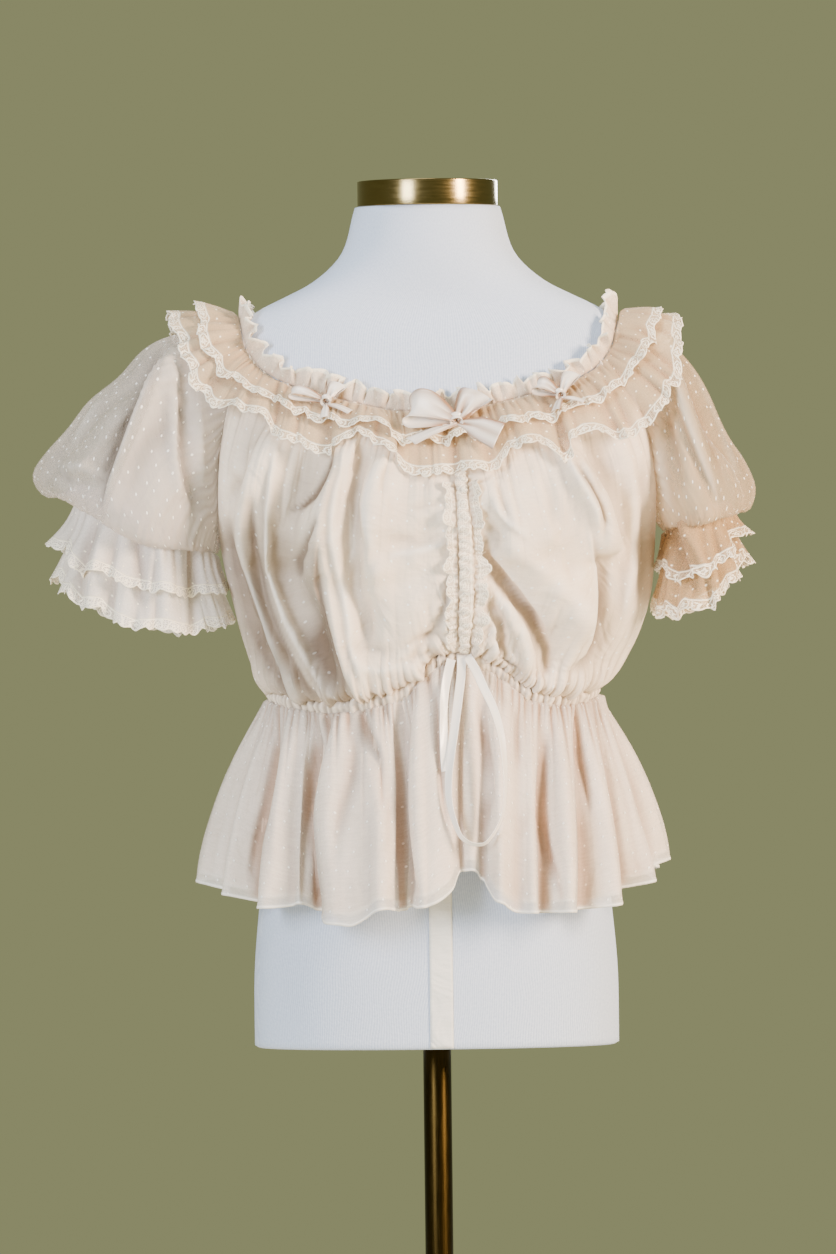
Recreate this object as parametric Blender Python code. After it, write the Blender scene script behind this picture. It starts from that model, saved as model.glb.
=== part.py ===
"""A peasant blouse on a limbless dress form.

The blouse is modelled piece by piece as it is cut: every cloth piece is a thin wall of its own,
0.3 mm or more from its neighbours. The blouse's front faces -Y and the floor is z = 0.
Tables and sizes are in millimetres; objects are built in metres.
"""

import math
from collections import namedtuple

import bmesh
import bpy
import numpy as np

MM = 0.001

# ---------------------------------------------------------------- driving sizes, in millimetres
CLOTH = 1.2  # wall of bodice and sleeves
SHEER = 1.0  # wall of ruffles and peplum layers
SEAM = 0.4  # gap that parts two pieces at a seam
FORM_CLEARANCE = 0.6  # between the form and the cloth that rests on it

BASE_RADIUS = 160
BASE_HEIGHT = 10
POLE_RADIUS = 12.5
FORM_BOTTOM = 530
FORM_TOP = 1278
CAP_RADIUS = 62.5
CAP_HEIGHT = 23
CHAMFER = 2.0
STAND_GAP = 0.3  # parts of the stand meet face to face with this gap

WAIST_HALF_WIDTH = 146
WAIST_FRONT = 107
WAIST_BACK = 98
CASING_HEIGHT = 9
HEM_HALF_WIDTH = 198
HEM_FRONT = 150
HEM_BACK = 160
LINING_SHORT = 9  # the lining's hem ends this far above the overlay's

UPPER_TIER = 46  # cut depth of the upper neck ruffle
UPPER_TIER_LIFT = 8  # how far its hem stands off the lower one
SHOULDER_EASE = 1.0  # extra room over the form where a sleeve crosses the shoulder
LOWER_TIER_GAP = FORM_CLEARANCE + CLOTH + SHOULDER_EASE + 2 * SEAM + SHEER
UPPER_TIER_GAP = LOWER_TIER_GAP + 2 * SEAM + SHEER
NECK_WAVE = 2.6
TIER_WAVE = 5.0
HEADING = 15  # the frill that stands above the neckline

BLOUSING = 18  # how far the fronts puff out over the waist
POUF_DROP = 9  # how far that fullness hangs down over the seam
BACK_FOLD = 5.5
FOLD_DEPTH = 1.3  # deepens all the peplum's folds
STRIP_WIDTH = 12  # the ruched channel over the centre seam
STRIP_TOP = 0.22  # share of the way down the centre front
FRILL_WIDTH = 18
FAN = 14  # degrees by which the peplum's folds fan out between waist and hem

# Gathers, ripples and ruches of each piece, all the way round or all the way down.
NECK_RIPPLES = 21
HEADING_RIPPLES = 32
CASING_RIPPLES = 36
TIER_RIPPLES = 7
SLEEVE_GATHERS = 7
BACK_GATHERS = 5
STRIP_RUCHES = 7
FRILL_RIPPLES = 7

# Points across each panel and down it, and round a sleeve.
LEFT_COLUMNS = 29
RIGHT_COLUMNS = 19
BACK_COLUMNS = 21
FRONT_ROWS = 16
BACK_ROWS = 11
ARMHOLE_POINTS = 12  # along half an armhole, from the neckline to the underarm
UNDERARM = 0.6  # share of the way down a panel's side edge

CREAM = ("#DCCBBB", 0.75)
BLUSH = ("#DBC6B6", 0.7)
LACE = ("#E8DACB", 0.8)
SATIN = ("#EFE3D8", 0.35)
BRASS = ("#6B5420", 0.32, 1.0)
FORM_CLOTH = ("#D5DAE2", 0.85)

# ---------------------------------------------------------------- tables
Section = namedtuple("Section", "z half_width front back power")
FORM = [
    Section(530, 162.6, 104, 118, 2.3),
    Section(570, 163, 106, 121, 2.3),
    Section(615, 161, 107, 122, 2.3),
    Section(655, 157, 105, 120, 2.3),
    Section(704, 154, 103, 114, 2.3),
    Section(745, 146, 97, 104, 2.3),
    Section(785, 134, 91, 92, 2.3),
    Section(838, 122, 86, 82, 2.3),
    Section(880, 128, 92, 82, 2.3),
    Section(927, 140, 102, 84, 2.3),
    Section(985, 152, 118, 86, 2.3),
    Section(1035, 158, 112, 88, 2.3),
    Section(1070, 165, 99, 88, 2.3),
    Section(1106, 172, 86, 86, 2.3),
    Section(1140, 178, 72, 80, 2.3),
    Section(1158, 178, 62, 72, 2.3),
    Section(1170, 172, 55, 66, 2.3),
    Section(1178, 165.5, 52, 62, 2.3),
    Section(1186, 154, 50, 60, 2.3),
    Section(1193, 141, 49.5, 59, 2.3),
    Section(1200, 126, 50, 59, 2.2),
    Section(1209, 108, 52, 59.5, 2.1),
    Section(1222, 91.5, 55, 60, 2.0),
    Section(1240, 74.5, 58, 60.5, 2.0),
    Section(1258, 66.5, 59.5, 60.5, 2.0),
    Section(1278, 64.8, 60, 60, 2.0),
]

# The elastic neckline, by its turn about the form: 0 at centre front, 90 at a shoulder, 180 at
# centre back. It is the same on both sides.
Neck = namedtuple("Neck", "turn x z")
NECKLINE = [
    Neck(0, 0, 1091),
    Neck(15, 30, 1093),
    Neck(30, 62, 1099.5),
    Neck(45, 95, 1108.5),
    Neck(57, 123, 1118),
    Neck(67, 145, 1130.5),
    Neck(75, 156, 1143),
    Neck(82, 163, 1158),
    Neck(90, 167, 1176.5),
    Neck(98, 164, 1166),
    Neck(108, 156, 1154),
    Neck(120, 138, 1144),
    Neck(140, 98, 1136),
    Neck(160, 50, 1131),
    Neck(180, 0, 1130),
]

# Where the lower neck ruffle's hem hangs, lobe by lobe, by the same turn.
Hem = namedtuple("Hem", "turn x y z")
NECK_HEM = [
    Hem(-165, -60, 130, 1070),
    Hem(-145, -120, 120, 1080),
    Hem(-125, -170, 102, 1098),
    Hem(-110, -213, 72, 1130),
    Hem(-100, -236, 38, 1165),
    Hem(-92, -244, 0, 1182),
    Hem(-86, -234, -38, 1158),
    Hem(-81, -221, -66, 1128),
    Hem(-75, -200, -88, 1101),
    Hem(-68, -173, -103, 1090),
    Hem(-61, -148, -113, 1081),
    Hem(-54, -130, -120, 1063),
    Hem(-46, -109, -126, 1051),
    Hem(-37, -86, -130, 1053),
    Hem(-28, -64, -136, 1067),
    Hem(-20, -45, -137, 1056),
    Hem(-12, -25, -138, 1034),
    Hem(0, -1, -138, 1030),
    Hem(12, 30, -138, 1030),
    Hem(20, 57, -137, 1034),
    Hem(26, 70, -136, 1046),
    Hem(33, 84, -134, 1055),
    Hem(41, 103, -129, 1055),
    Hem(47, 121, -126, 1042),
    Hem(52, 132, -119, 1058),
    Hem(59, 154, -113, 1064),
    Hem(66, 179, -106, 1057),
    Hem(73, 204, -94, 1078),
    Hem(79, 222, -76, 1102),
    Hem(84, 227, -58, 1122),
    Hem(88, 236, -30, 1151),
    Hem(92, 233, 0, 1174),
    Hem(100, 226, 38, 1160),
    Hem(110, 205, 72, 1128),
    Hem(125, 165, 102, 1098),
    Hem(145, 118, 120, 1080),
    Hem(165, 60, 130, 1070),
    Hem(180, 0, 133, 1067),
]

# The waist seam's height by angle about the body: it is drawn up at the centre front.
Waist = namedtuple("Waist", "angle z")
WAIST_SEAM = [
    Waist(-180, 848),
    Waist(-120, 848),
    Waist(-90, 850),
    Waist(-54, 842),
    Waist(-38, 838),
    Waist(-23, 842),
    Waist(-11, 851),
    Waist(-3, 868),
    Waist(4, 880),
    Waist(12, 881),
    Waist(19, 875),
    Waist(26, 864),
    Waist(36, 848),
    Waist(52, 843),
    Waist(90, 851),
    Waist(120, 848),
    Waist(180, 848),
]

# Edges of the front panels, by the share of the way down from the neckline to the waist.
Edge = namedtuple("Edge", "down x y z")
FRONT_ANGLE = 11  # the centre front line meets the waist at this angle
FRONT_TURN = 12  # and leaves the neckline at this turn
RAGLAN_TURN = 80  # the armhole leaves the neckline at this turn
RAGLAN_BACK = 100  # and comes back to it at this one
CENTRE_EDGE = [
    Edge(0.2, 26, -117, 1045),
    Edge(0.45, 29, -134, 990),
    Edge(0.7, 30, -131, 935),
    Edge(0.88, 28, -119, 899),
]
SIDE_EDGE_LEFT = [
    Edge(0.2, -179, -46, 1102),
    Edge(0.38, -188, -46, 1050),
    Edge(0.5, -189, -32, 1010),
    Edge(0.6, -188.5, -0.4, 985),
    Edge(0.72, -178, -0.4, 936),
    Edge(0.84, -169, -0.4, 901),
    Edge(0.94, -156, -0.4, 869),
]
SIDE_EDGE_RIGHT = [
    Edge(0.2, 183, -46, 1105),
    Edge(0.38, 197, -46, 1057),
    Edge(0.5, 200, -32, 1024),
    Edge(0.6, 200, -0.4, 1000),
    Edge(0.72, 196, -0.4, 942),
    Edge(0.84, 183, -0.4, 901),
    Edge(0.94, 160, -0.4, 868),
]
CENTRE_BACK = [
    Edge(0.3, 0, 112, 1050),
    Edge(0.6, 0, 122, 960),
    Edge(0.85, 0, 114, 885),
]

# The main creases of the front panels as lines seen from the front: a ridge has a positive lift.
Crease = namedtuple("Crease", "lift width line")
CREASES = [
    Crease(13, 14, ((-137, 1060), (-157, 1008), (-153, 962), (-144, 921), (-118, 880), (-95, 852))),
    Crease(-11, 11, ((-172, 1020), (-168, 968), (-160, 930), (-145, 893), (-124, 862))),
    Crease(14, 14, ((-66, 1055), (-88, 1012), (-92, 966), (-86, 925), (-78, 889), (-66, 850))),
    Crease(-13, 14, ((-104, 1045), (-126, 995), (-121, 946), (-106, 902), (-92, 862))),
    Crease(9, 13, ((-40, 1045), (-46, 1004), (-46, 950))),
    Crease(-10, 11, ((-62, 1040), (-68, 985), (-64, 945), (-56, 900))),
    Crease(-7, 8, ((5, 993), (-18, 983), (-42, 976))),
    Crease(8, 12, ((45, 1020), (66, 998), (92, 984))),
    Crease(-14, 13, ((44, 972), (72, 938), (94, 903), (102, 868))),
    Crease(11, 12, ((66, 975), (98, 945), (120, 905))),
    Crease(-8, 9, ((48, 925), (64, 893), (84, 860))),
    Crease(12, 13, ((124, 1035), (139, 1014), (146, 980))),
    Crease(-13, 13, ((142, 1056), (164, 1010), (167, 965))),
    Crease(-11, 13, ((140, 960), (143, 915), (146, 880), (126, 855))),
]

# Peplum folds by angle at the hem: lift is outwards, ridge or valley, z is the overlay's hem.
Fold = namedtuple("Fold", "angle lift z")
PEPLUM = [
    Fold(-88, 9, 678),
    Fold(-72, -3, 671),
    Fold(-64, 5, 667),
    Fold(-56, -12, 660),
    Fold(-47, 9, 656),
    Fold(-40, 1, 658),
    Fold(-36.5, 2, 660),
    Fold(-33.5, -13, 653),
    Fold(-27, 9, 643),
    Fold(-20, 13, 641),
    Fold(-13, 13, 655),
    Fold(-9.5, -13, 653),
    Fold(-6.5, -12, 657),
    Fold(-3.5, 6, 656),
    Fold(0, 7, 660),
    Fold(4, 1, 672),
    Fold(7, -10, 687),
    Fold(10, -7, 688),
    Fold(13, -9, 678),
    Fold(16, 7, 660),
    Fold(21, 2, 651),
    Fold(25, 7, 650),
    Fold(29.5, -6, 650),
    Fold(35, 8, 650),
    Fold(43, -8, 652),
    Fold(51, 6, 655),
    Fold(60, -9, 668),
    Fold(69, 5, 674),
    Fold(77, -4, 684),
    Fold(88, 8, 693),
    Fold(98, -8, 690),
    Fold(108, 9, 684),
    Fold(119, -9, 680),
    Fold(130, 8, 676),
    Fold(142, -9, 676),
    Fold(154, 9, 674),
    Fold(166, -9, 674),
    Fold(178, 8, 672),
    Fold(190, -9, 672),
    Fold(202, 9, 674),
    Fold(214, -9, 674),
    Fold(226, 8, 676),
    Fold(237, -9, 680),
    Fold(248, 9, 680),
    Fold(259, -8, 682),
]

# Sleeve sections from the armhole down: the outer and inner ends of each ring in the front view,
# half its depth, and how far its front and back hang below the line between the ends.
Ring = namedtuple("Ring", "out_x out_z in_x in_z depth sag")
SLEEVE_LEFT = [
    Ring(203, 1168, 190.5, 986, 60, 0),
    Ring(246, 1154, 190.8, 984, 76, 0),
    Ring(285, 1130, 191, 982, 86, 2),
    Ring(316, 1094, 191.2, 980, 92, 6),
    Ring(340, 1060, 191.4, 978, 92, 12),
    Ring(350, 1036, 191.6, 976, 84, 18),
    Ring(341, 1018, 191.8, 974, 72, 14),
    Ring(324, 1018, 192, 972.5, 62, 4),
    Ring(313, 1027, 192.2, 971, 56, -6),
]
SLEEVE_RIGHT = [
    Ring(200, 1158, 201.5, 998.5, 56, 0),
    Ring(224, 1138, 202.5, 997, 70, 0),
    Ring(243, 1108, 203.5, 995.5, 82, 2),
    Ring(261, 1072, 204.5, 994, 88, 4),
    Ring(278, 1042, 205.5, 992.5, 90, 6),
    Ring(285, 1020, 206.3, 991, 86, 8),
    Ring(281, 1006, 207, 989.5, 79, 6),
    Ring(273, 1005, 207.5, 988, 73, 0),
    Ring(266, 1012, 208, 986.5, 69, -6),
]
UPPER_TIER_LEFT = Ring(343, 973, 180.5, 930, 82, 20)
LOWER_TIER_LEFT = Ring(341, 940, 176, 902, 84, 26)
UPPER_TIER_RIGHT = Ring(286, 978, 200.5, 945, 92, 24)
LOWER_TIER_RIGHT = Ring(287, 951, 197, 906, 92, 20)

# The points of a sleeve's first ring that lie on the neckline, and their turns.
SHOULDER_TURNS = ((0, 90), (1, 85), (2, 80.7), (-2, 99.3), (-1, 95))

# A bow's place, by turn and by share of the upper tier's depth, and its size. The loops tilt up
# by degrees; each tail's end lies tail of the way down the rest of the tier, at a turn of its own.
Bow = namedtuple(
    "Bow",
    "name turn down stand knot loop width tilt_left tilt_right tail tail_width tail_left tail_right",
)
BOWS = [
    Bow("bow_left", -42, 0.22, 3.6, 9, 32, 11, -3, 10, 0.6, 8, -1, 7),
    Bow("bow_centre", 11, 0.29, 4, 12, 42, 19, 22, 28, 0.6, 14, -13, 10),
    Bow("bow_right", 51, 0.3, 3.8, 9, 26, 11, 10, 50, 0.5, 8, -6, 2),
]

# The way of a bow's loop: out to its tip in front and back behind, as shares of its length and width.
Loop = namedtuple("Loop", "reach out width")
BOW_LOOP = [
    Loop(0, 1.3, 0.3),
    Loop(0.3, 6, 0.65),
    Loop(0.65, 8.8, 0.9),
    Loop(0.92, 8.2, 1),
    Loop(1, 6, 1),
    Loop(0.92, 3.8, 1),
    Loop(0.6, 2.8, 0.9),
    Loop(0.3, 1.6, 0.65),
    Loop(0, -0.8, 0.3),
]

# The drawstring's loop and its second end, as seen from the front.
Route = namedtuple("Route", "x y z")
DRAWSTRING = [
    Route(25.5, -109.1, 877.6),
    Route(25, -113, 862),
    Route(23, -119, 846),
    Route(19.5, -129, 820),
    Route(15.8, -138, 794),
    Route(13, -146, 769),
    Route(13.5, -150, 750),
    Route(18, -153, 732),
    Route(25, -155, 717.5),
    Route(34.5, -156, 712.5),
    Route(43.5, -156, 713),
    Route(50, -157, 720),
    Route(58, -157, 735),
    Route(61.5, -156, 757),
    Route(61.5, -152, 782),
    Route(59, -146, 807),
    Route(53, -136, 830),
    Route(44, -125, 850),
    Route(37, -116, 866),
    Route(30.5, -111, 877.2),
]
DRAWSTRING_END = [
    Route(16.3, -110.9, 874.5),
    Route(13, -113, 862),
    Route(9.5, -119.5, 842),
    Route(8.5, -128, 820),
    Route(9, -134, 800),
    Route(10.5, -139, 776),
]
RIBBON = 8  # width of the drawstring


# ---------------------------------------------------------------- curves through the tables
def cubic(knots, values, tangent, at):
    """A cubic curve with the given values and slopes at the knots."""
    step = np.diff(knots)
    i = np.clip(np.searchsorted(knots, at, "right") - 1, 0, len(step) - 1)
    t = ((at - knots[i]) / step[i])[:, None]
    width = step[i][:, None]
    return (
        values[i] * (1 + 2 * t) * (1 - t) ** 2
        + values[i + 1] * t * t * (3 - 2 * t)
        + tangent[i] * width * t * (1 - t) ** 2
        - tangent[i + 1] * width * t * t * (1 - t)
    )


def smooth(rows, at):
    """A smooth curve through the rows, whose first column is the parameter.

    It has the harmonic mean of the slopes on each side, so it never swings past a row.
    """
    rows = np.asarray(rows, float)
    knots, values = rows[:, 0], rows[:, 1:]
    step = np.diff(knots)
    slope = np.diff(values, axis=0) / step[:, None]
    tangent = np.zeros_like(values)
    tangent[0], tangent[-1] = slope[0], slope[-1]
    before, after = step[:-1, None], step[1:, None]
    same_way = slope[:-1] * slope[1:] > 0
    low = np.where(same_way, slope[:-1], 1)
    high = np.where(same_way, slope[1:], 1)
    mean = 3 * (before + after) / ((2 * after + before) / low + (after + 2 * before) / high)
    tangent[1:-1] = np.where(same_way, mean, 0)
    return cubic(knots, values, tangent, np.atleast_1d(np.asarray(at, float)))


def flowing(route, count):
    """A freely curving line through a route's points, in count even steps along it."""
    points = np.asarray(route, float)
    knots = np.append(0, np.linalg.norm(np.diff(points, axis=0), axis=1).cumsum())
    tangent = np.gradient(points, knots, axis=0)
    return cubic(knots, points, tangent, np.linspace(0, knots[-1], count))


def closed_smooth(rows, at, period=360.0):
    """The same through rows that go all the way round."""
    rows = np.asarray(rows, float)
    before, after = rows[-3:].copy(), rows[:3].copy()
    before[:, 0] -= period
    after[:, 0] += period
    low = rows[0, 0]
    at = (np.atleast_1d(np.asarray(at, float)) - low) % period + low
    return smooth(np.vstack([before, rows, after]), at)


def unit(vectors):
    return vectors / np.maximum(np.linalg.norm(vectors, axis=-1, keepdims=True), 1e-9)


def signed_power(value, power):
    return np.sign(value) * np.abs(value) ** power


def form_section(z):
    return smooth(FORM, z).T


def form_point(x, z, side, gap):
    """The point of the form's surface at x and z, on its front (-1) or back (1), moved out."""
    x, z = np.broadcast_arrays(np.asarray(x, float), np.asarray(z, float))

    def level(px, py, pz):
        half_width, front, back, power = form_section(pz)
        depth = np.where(py < 0, front, back)
        return np.abs(px / half_width) ** power + np.abs(py / depth) ** power

    half_width, front, back, power = form_section(z)
    depth = np.where(side < 0, front, back)
    room = np.clip(1 - np.abs(x / half_width) ** power, 0, 1)
    y = side * depth * room ** (1 / power)
    h = 0.5
    normal = np.stack(
        [
            level(x + h, y, z) - level(x - h, y, z),
            level(x, y + h, z) - level(x, y - h, z),
            level(x, y, z + h) - level(x, y, z - h),
        ],
        -1,
    )
    return np.stack([x, y, z], -1) + unit(normal) * gap


def neck_point(turn, gap=FORM_CLEARANCE + CLOTH):
    """The neckline's point at a turn, moved out from the form by gap."""
    turn = (np.atleast_1d(np.asarray(turn, float)) + 180) % 360 - 180
    x, z = smooth(NECKLINE, np.abs(turn)).T
    return form_point(x * np.sign(turn), z, np.where(np.abs(turn) < 90, -1, 1), gap)


def waist_point(angle, drop=0.0, out=0.0):
    """The waist ring's point at an angle about the body, lowered by drop and moved out."""
    angle = np.atleast_1d(np.asarray(angle, float))
    turn = (angle + 180) % 360 - 180
    z = smooth(WAIST_SEAM, turn)[:, 0]
    a = np.radians(turn)
    depth = np.where(np.abs(turn) < 90, WAIST_FRONT, WAIST_BACK) + out
    x = (WAIST_HALF_WIDTH + out) * np.sin(a)
    return np.stack([x, -depth * np.cos(a), z - drop], -1)


# ---------------------------------------------------------------- making solids
def linear(hex_colour):
    channels = [int(hex_colour[i : i + 2], 16) / 255 for i in (1, 3, 5)]
    return [c / 12.92 if c <= 0.04045 else ((c + 0.055) / 1.055) ** 2.4 for c in channels]


def material(name, hex_colour, roughness, metallic=0.0):
    made = bpy.data.materials.new(name)
    made.use_nodes = True
    shader = made.node_tree.nodes["Principled BSDF"]
    shader.inputs["Base Color"].default_value = (*linear(hex_colour), 1)
    shader.inputs["Roughness"].default_value = roughness
    shader.inputs["Metallic"].default_value = metallic
    made.diffuse_color = (*linear(hex_colour), 1)
    return made


def solid(name, points, faces, look):
    """One closed mesh from points in millimetres, with its faces turned outwards."""
    mesh = bpy.data.meshes.new(name)
    mesh.from_pydata((np.asarray(points) * MM).tolist(), [], faces)
    shape = bmesh.new()
    shape.from_mesh(mesh)
    bmesh.ops.recalc_face_normals(shape, faces=shape.faces)
    shape.to_mesh(mesh)
    shape.free()
    mesh.materials.append(material(name, *look))
    mesh.shade_smooth()
    mesh.set_sharp_from_angle(angle=math.radians(50))
    made = bpy.data.objects.new(name, mesh)
    bpy.context.collection.objects.link(made)
    return made


def grid_normals(grid, closed):
    """Unit normals of a grid of points, rows running down and columns running round."""
    if closed:
        along = np.roll(grid, -1, 1) - np.roll(grid, 1, 1)
    else:
        along = np.gradient(grid, axis=1)
    down = np.gradient(grid, axis=0)
    return unit(np.cross(along, down))


def wall(name, grid, thickness, look, closed, outwards):
    """A cloth wall: the grid is its outer face, and its inner face lies thickness inside.

    outwards holds the grid's unit normals; closed joins the last column to the first.
    """
    rows, columns, _ = grid.shape
    points = np.vstack([grid.reshape(-1, 3), (grid - outwards * thickness).reshape(-1, 3)])
    inner = rows * columns
    low = (rows - 1) * columns
    faces = []

    def square(a, b, c, d):
        faces.append((a, b, c))
        faces.append((a, c, d))

    for column in range(columns if closed else columns - 1):
        beside = (column + 1) % columns
        for row in range(rows - 1):
            a, b = row * columns + column, row * columns + beside
            square(a, a + columns, b + columns, b)
            square(inner + a, inner + b, inner + b + columns, inner + a + columns)
        square(column, beside, inner + beside, inner + column)
        square(low + beside, low + column, inner + low + column, inner + low + beside)
    if not closed:
        for row in range(rows - 1):
            a, b = row * columns, (row + 1) * columns
            square(a, inner + a, inner + b, b)
            a, b = a + columns - 1, b + columns - 1
            square(b, inner + b, inner + a, a)
    return solid(name, points, faces, look)


def loft(name, rings, look):
    """A closed solid through rings of points, with flat ends."""
    rings = np.asarray(rings)
    count, size, _ = rings.shape
    faces = [tuple(range(size))[::-1], tuple((count - 1) * size + i for i in range(size))]
    for r in range(count - 1):
        for c in range(size):
            d = (c + 1) % size
            faces.append((r * size + c, r * size + d, (r + 1) * size + d, (r + 1) * size + c))
    return solid(name, rings.reshape(-1, 3), faces, look)


# ---------------------------------------------------------------- the stand and the form
def turned(name, profile, sides, look):
    """A turned solid from (radius, z) steps."""
    a = np.linspace(0, 2 * math.pi, sides, endpoint=False)
    rings = [np.stack([r * np.cos(a), r * np.sin(a), np.full(sides, z)], -1) for r, z in profile]
    return loft(name, rings, look)


def disc(radius, low, height):
    """The profile of a disc with chamfered edges."""
    high = low + height
    edge = CHAMFER
    return [(radius - edge, low), (radius, low + edge), (radius, high - edge), (radius - edge, high)]


def stand():
    turned("base_plate", disc(BASE_RADIUS, 0, BASE_HEIGHT), 32, BRASS)
    pole = [(POLE_RADIUS, BASE_HEIGHT + STAND_GAP), (POLE_RADIUS, FORM_BOTTOM - STAND_GAP)]
    turned("pole", pole, 20, BRASS)
    turned("neck_cap", disc(CAP_RADIUS, FORM_TOP + STAND_GAP, CAP_HEIGHT), 32, BRASS)


def dress_form():
    levels = [530, 600, 665, 720, 780, 838, 890, 940, 985, 1030, 1075]
    levels += [1115, 1145, 1163, 1176, 1187, 1198, 1211, 1232, 1278]
    a = np.linspace(0, 2 * math.pi, 24, endpoint=False)
    rings = []
    for z in levels:
        half_width, front, back, power = form_section(z)[:, 0]
        depth = np.where(np.sin(a) < 0, front, back)
        x = half_width * signed_power(np.cos(a), 2 / power)
        y = depth * signed_power(np.sin(a), 2 / power)
        rings.append(np.stack([x, y, np.full(len(a), float(z))], -1))
    loft("dress_form", rings, FORM_CLOTH)


# ---------------------------------------------------------------- bodice
def patch(top, bottom, first, last):
    """A surface spanned between four edges: top and bottom run across, first and last down."""
    rows, columns = len(first), len(top)
    v = np.linspace(0, 1, rows)[:, None, None]
    s = np.linspace(0, 1, columns)[None, :, None]
    corners = (
        (1 - v) * (1 - s) * top[0]
        + (1 - v) * s * top[-1]
        + v * (1 - s) * bottom[0]
        + v * s * bottom[-1]
    )
    across = (1 - v) * top[None] + v * bottom[None]
    down = (1 - s) * first[:, None] + s * last[:, None]
    return across + down - corners


def edge_points(start, rows, end, count):
    table = [(0, *start)] + [tuple(row) for row in rows] + [(1, *end)]
    return smooth(table, np.linspace(0, 1, count))


def crease_lift(x, z):
    """How far the creases lift the front at x, z."""
    lift = np.zeros(np.shape(x))
    for crease in CREASES:
        nearest = np.full(np.shape(x), 1e9)
        for (x0, z0), (x1, z1) in zip(crease.line, crease.line[1:]):
            dx, dz = x1 - x0, z1 - z0
            t = np.clip(((x - x0) * dx + (z - z0) * dz) / (dx * dx + dz * dz), 0, 1)
            nearest = np.minimum(nearest, np.hypot(x - x0 - t * dx, z - z0 - t * dz))
        lift += crease.lift * np.exp(-((nearest / crease.width) ** 2))
    return lift


def front_panel(side):
    """The outer face of a front panel, from the centre front to the side seam."""
    columns, rows = LEFT_COLUMNS if side < 0 else RIGHT_COLUMNS, FRONT_ROWS
    turns = np.linspace(FRONT_TURN, side * RAGLAN_TURN, columns)
    angles = np.linspace(FRONT_ANGLE, side * 90, columns)
    top = neck_point(turns)
    bottom = waist_point(angles)
    centre = edge_points(top[0], CENTRE_EDGE, bottom[0], rows)
    table = SIDE_EDGE_LEFT if side < 0 else SIDE_EDGE_RIGHT
    outer = edge_points(top[-1], table, bottom[-1] - (0, SEAM, 0), rows)
    grid = patch(top, bottom, centre, outer)
    normals = outward(grid, False)
    s = np.linspace(0, 1, columns)[None]
    v = np.linspace(0, 1, rows)[:, None]
    swell = BLOUSING * np.sin(math.pi * s) ** 0.8 * np.sin(math.pi * v**1.3) ** 0.5
    fade = np.clip(np.minimum(s, 1 - s) * 8, 0, 1) * np.clip(np.minimum(v, 1 - v) * 7, 0, 1)
    lift = swell + crease_lift(grid[..., 0], grid[..., 2]) * fade
    grid = grid + normals * lift[..., None]
    droop = np.sin(math.pi * s) ** 0.5 * np.exp(-(((v - 0.93) / 0.07) ** 2)) * (v < 1)
    grid[..., 2] -= POUF_DROP * droop
    grid[:, 0, 0] += SEAM * side
    return grid


def outward(grid, closed):
    """Unit normals turned away from the body's vertical axis."""
    normals = grid_normals(grid, closed)
    return normals * np.sign((normals[..., :2] * grid[..., :2]).sum())


def back_panel(columns=BACK_COLUMNS, rows=BACK_ROWS):
    turns = np.linspace(RAGLAN_BACK, 360 - RAGLAN_BACK, columns)
    angles = np.linspace(90, 270, columns)
    top = neck_point(turns)
    bottom = waist_point(angles)
    to_back = np.array([1, 1, -1, 1])
    right = [tuple(np.array(row) * to_back) for row in SIDE_EDGE_RIGHT]
    left = [tuple(np.array(row) * to_back) for row in SIDE_EDGE_LEFT]
    first = edge_points(top[0], right, bottom[0] + (0, SEAM, 0), rows)
    last = edge_points(top[-1], left, bottom[-1] + (0, SEAM, 0), rows)
    grid = patch(top, bottom, first, last)
    middle = edge_points(neck_point(180)[0], CENTRE_BACK, waist_point(180)[0], rows)
    lack = middle - grid[:, columns // 2]
    s = np.linspace(0, 1, columns)[None, :]
    v = np.linspace(0, 1, rows)[:, None]
    grid = grid + lack[:, None] * np.sin(math.pi * s)[..., None]
    gathers = np.cos(2 * math.pi * BACK_GATHERS * s) * np.sin(math.pi * s) * np.sin(math.pi * v) ** 0.5
    return grid + outward(grid, False) * (BACK_FOLD * gathers)[..., None]


def seam_normals(grid, side_columns, centre_column=None):
    """Normals of a panel, which at its seams lie in the seam's own plane."""
    normals = outward(grid, False)
    armhole = np.linspace(0, 1, len(grid)) < UNDERARM
    for column in side_columns:
        normals[armhole, column, 0] = 0
        normals[~armhole, column, 1] = 0
    if centre_column is not None:
        normals[:, centre_column, 0] = 0
    return unit(normals)


def bodice():
    left, right, back = front_panel(-1), front_panel(1), back_panel()
    wall("bodice_front_left", left, CLOTH, CREAM, False, seam_normals(left, [-1], 0))
    wall("bodice_front_right", right, CLOTH, CREAM, False, seam_normals(right, [-1], 0))
    wall("bodice_back", back, CLOTH, CREAM, False, seam_normals(back, [0, -1]))
    centre_front(left, right)


def on_panel(grid, across, down, out):
    """Points of a front panel, across mm from its centre edge and moved out from its face."""
    normals = outward(grid, False)
    rows, columns, _ = grid.shape
    row = np.clip(np.asarray(down, float) * (rows - 1), 0, rows - 1.001)
    r = row.astype(int)
    share = (row - r)[:, None]

    def along(values):
        return values[r] * (1 - share[..., None]) + values[r + 1] * share[..., None]

    lines, turned_out = along(grid), along(normals)
    reach = np.linalg.norm(np.diff(lines, axis=1), axis=2).cumsum(1)
    reach = np.hstack([np.zeros((len(r), 1)), reach])
    points = []
    for i in range(len(r)):
        place = [np.interp(across[i], reach[i], lines[i, :, k]) for k in range(3)]
        facing = [np.interp(across[i], reach[i], turned_out[i, :, k]) for k in range(3)]
        points.append(np.array(place) + np.array(facing) * out[i])
    return np.array(points)


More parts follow.
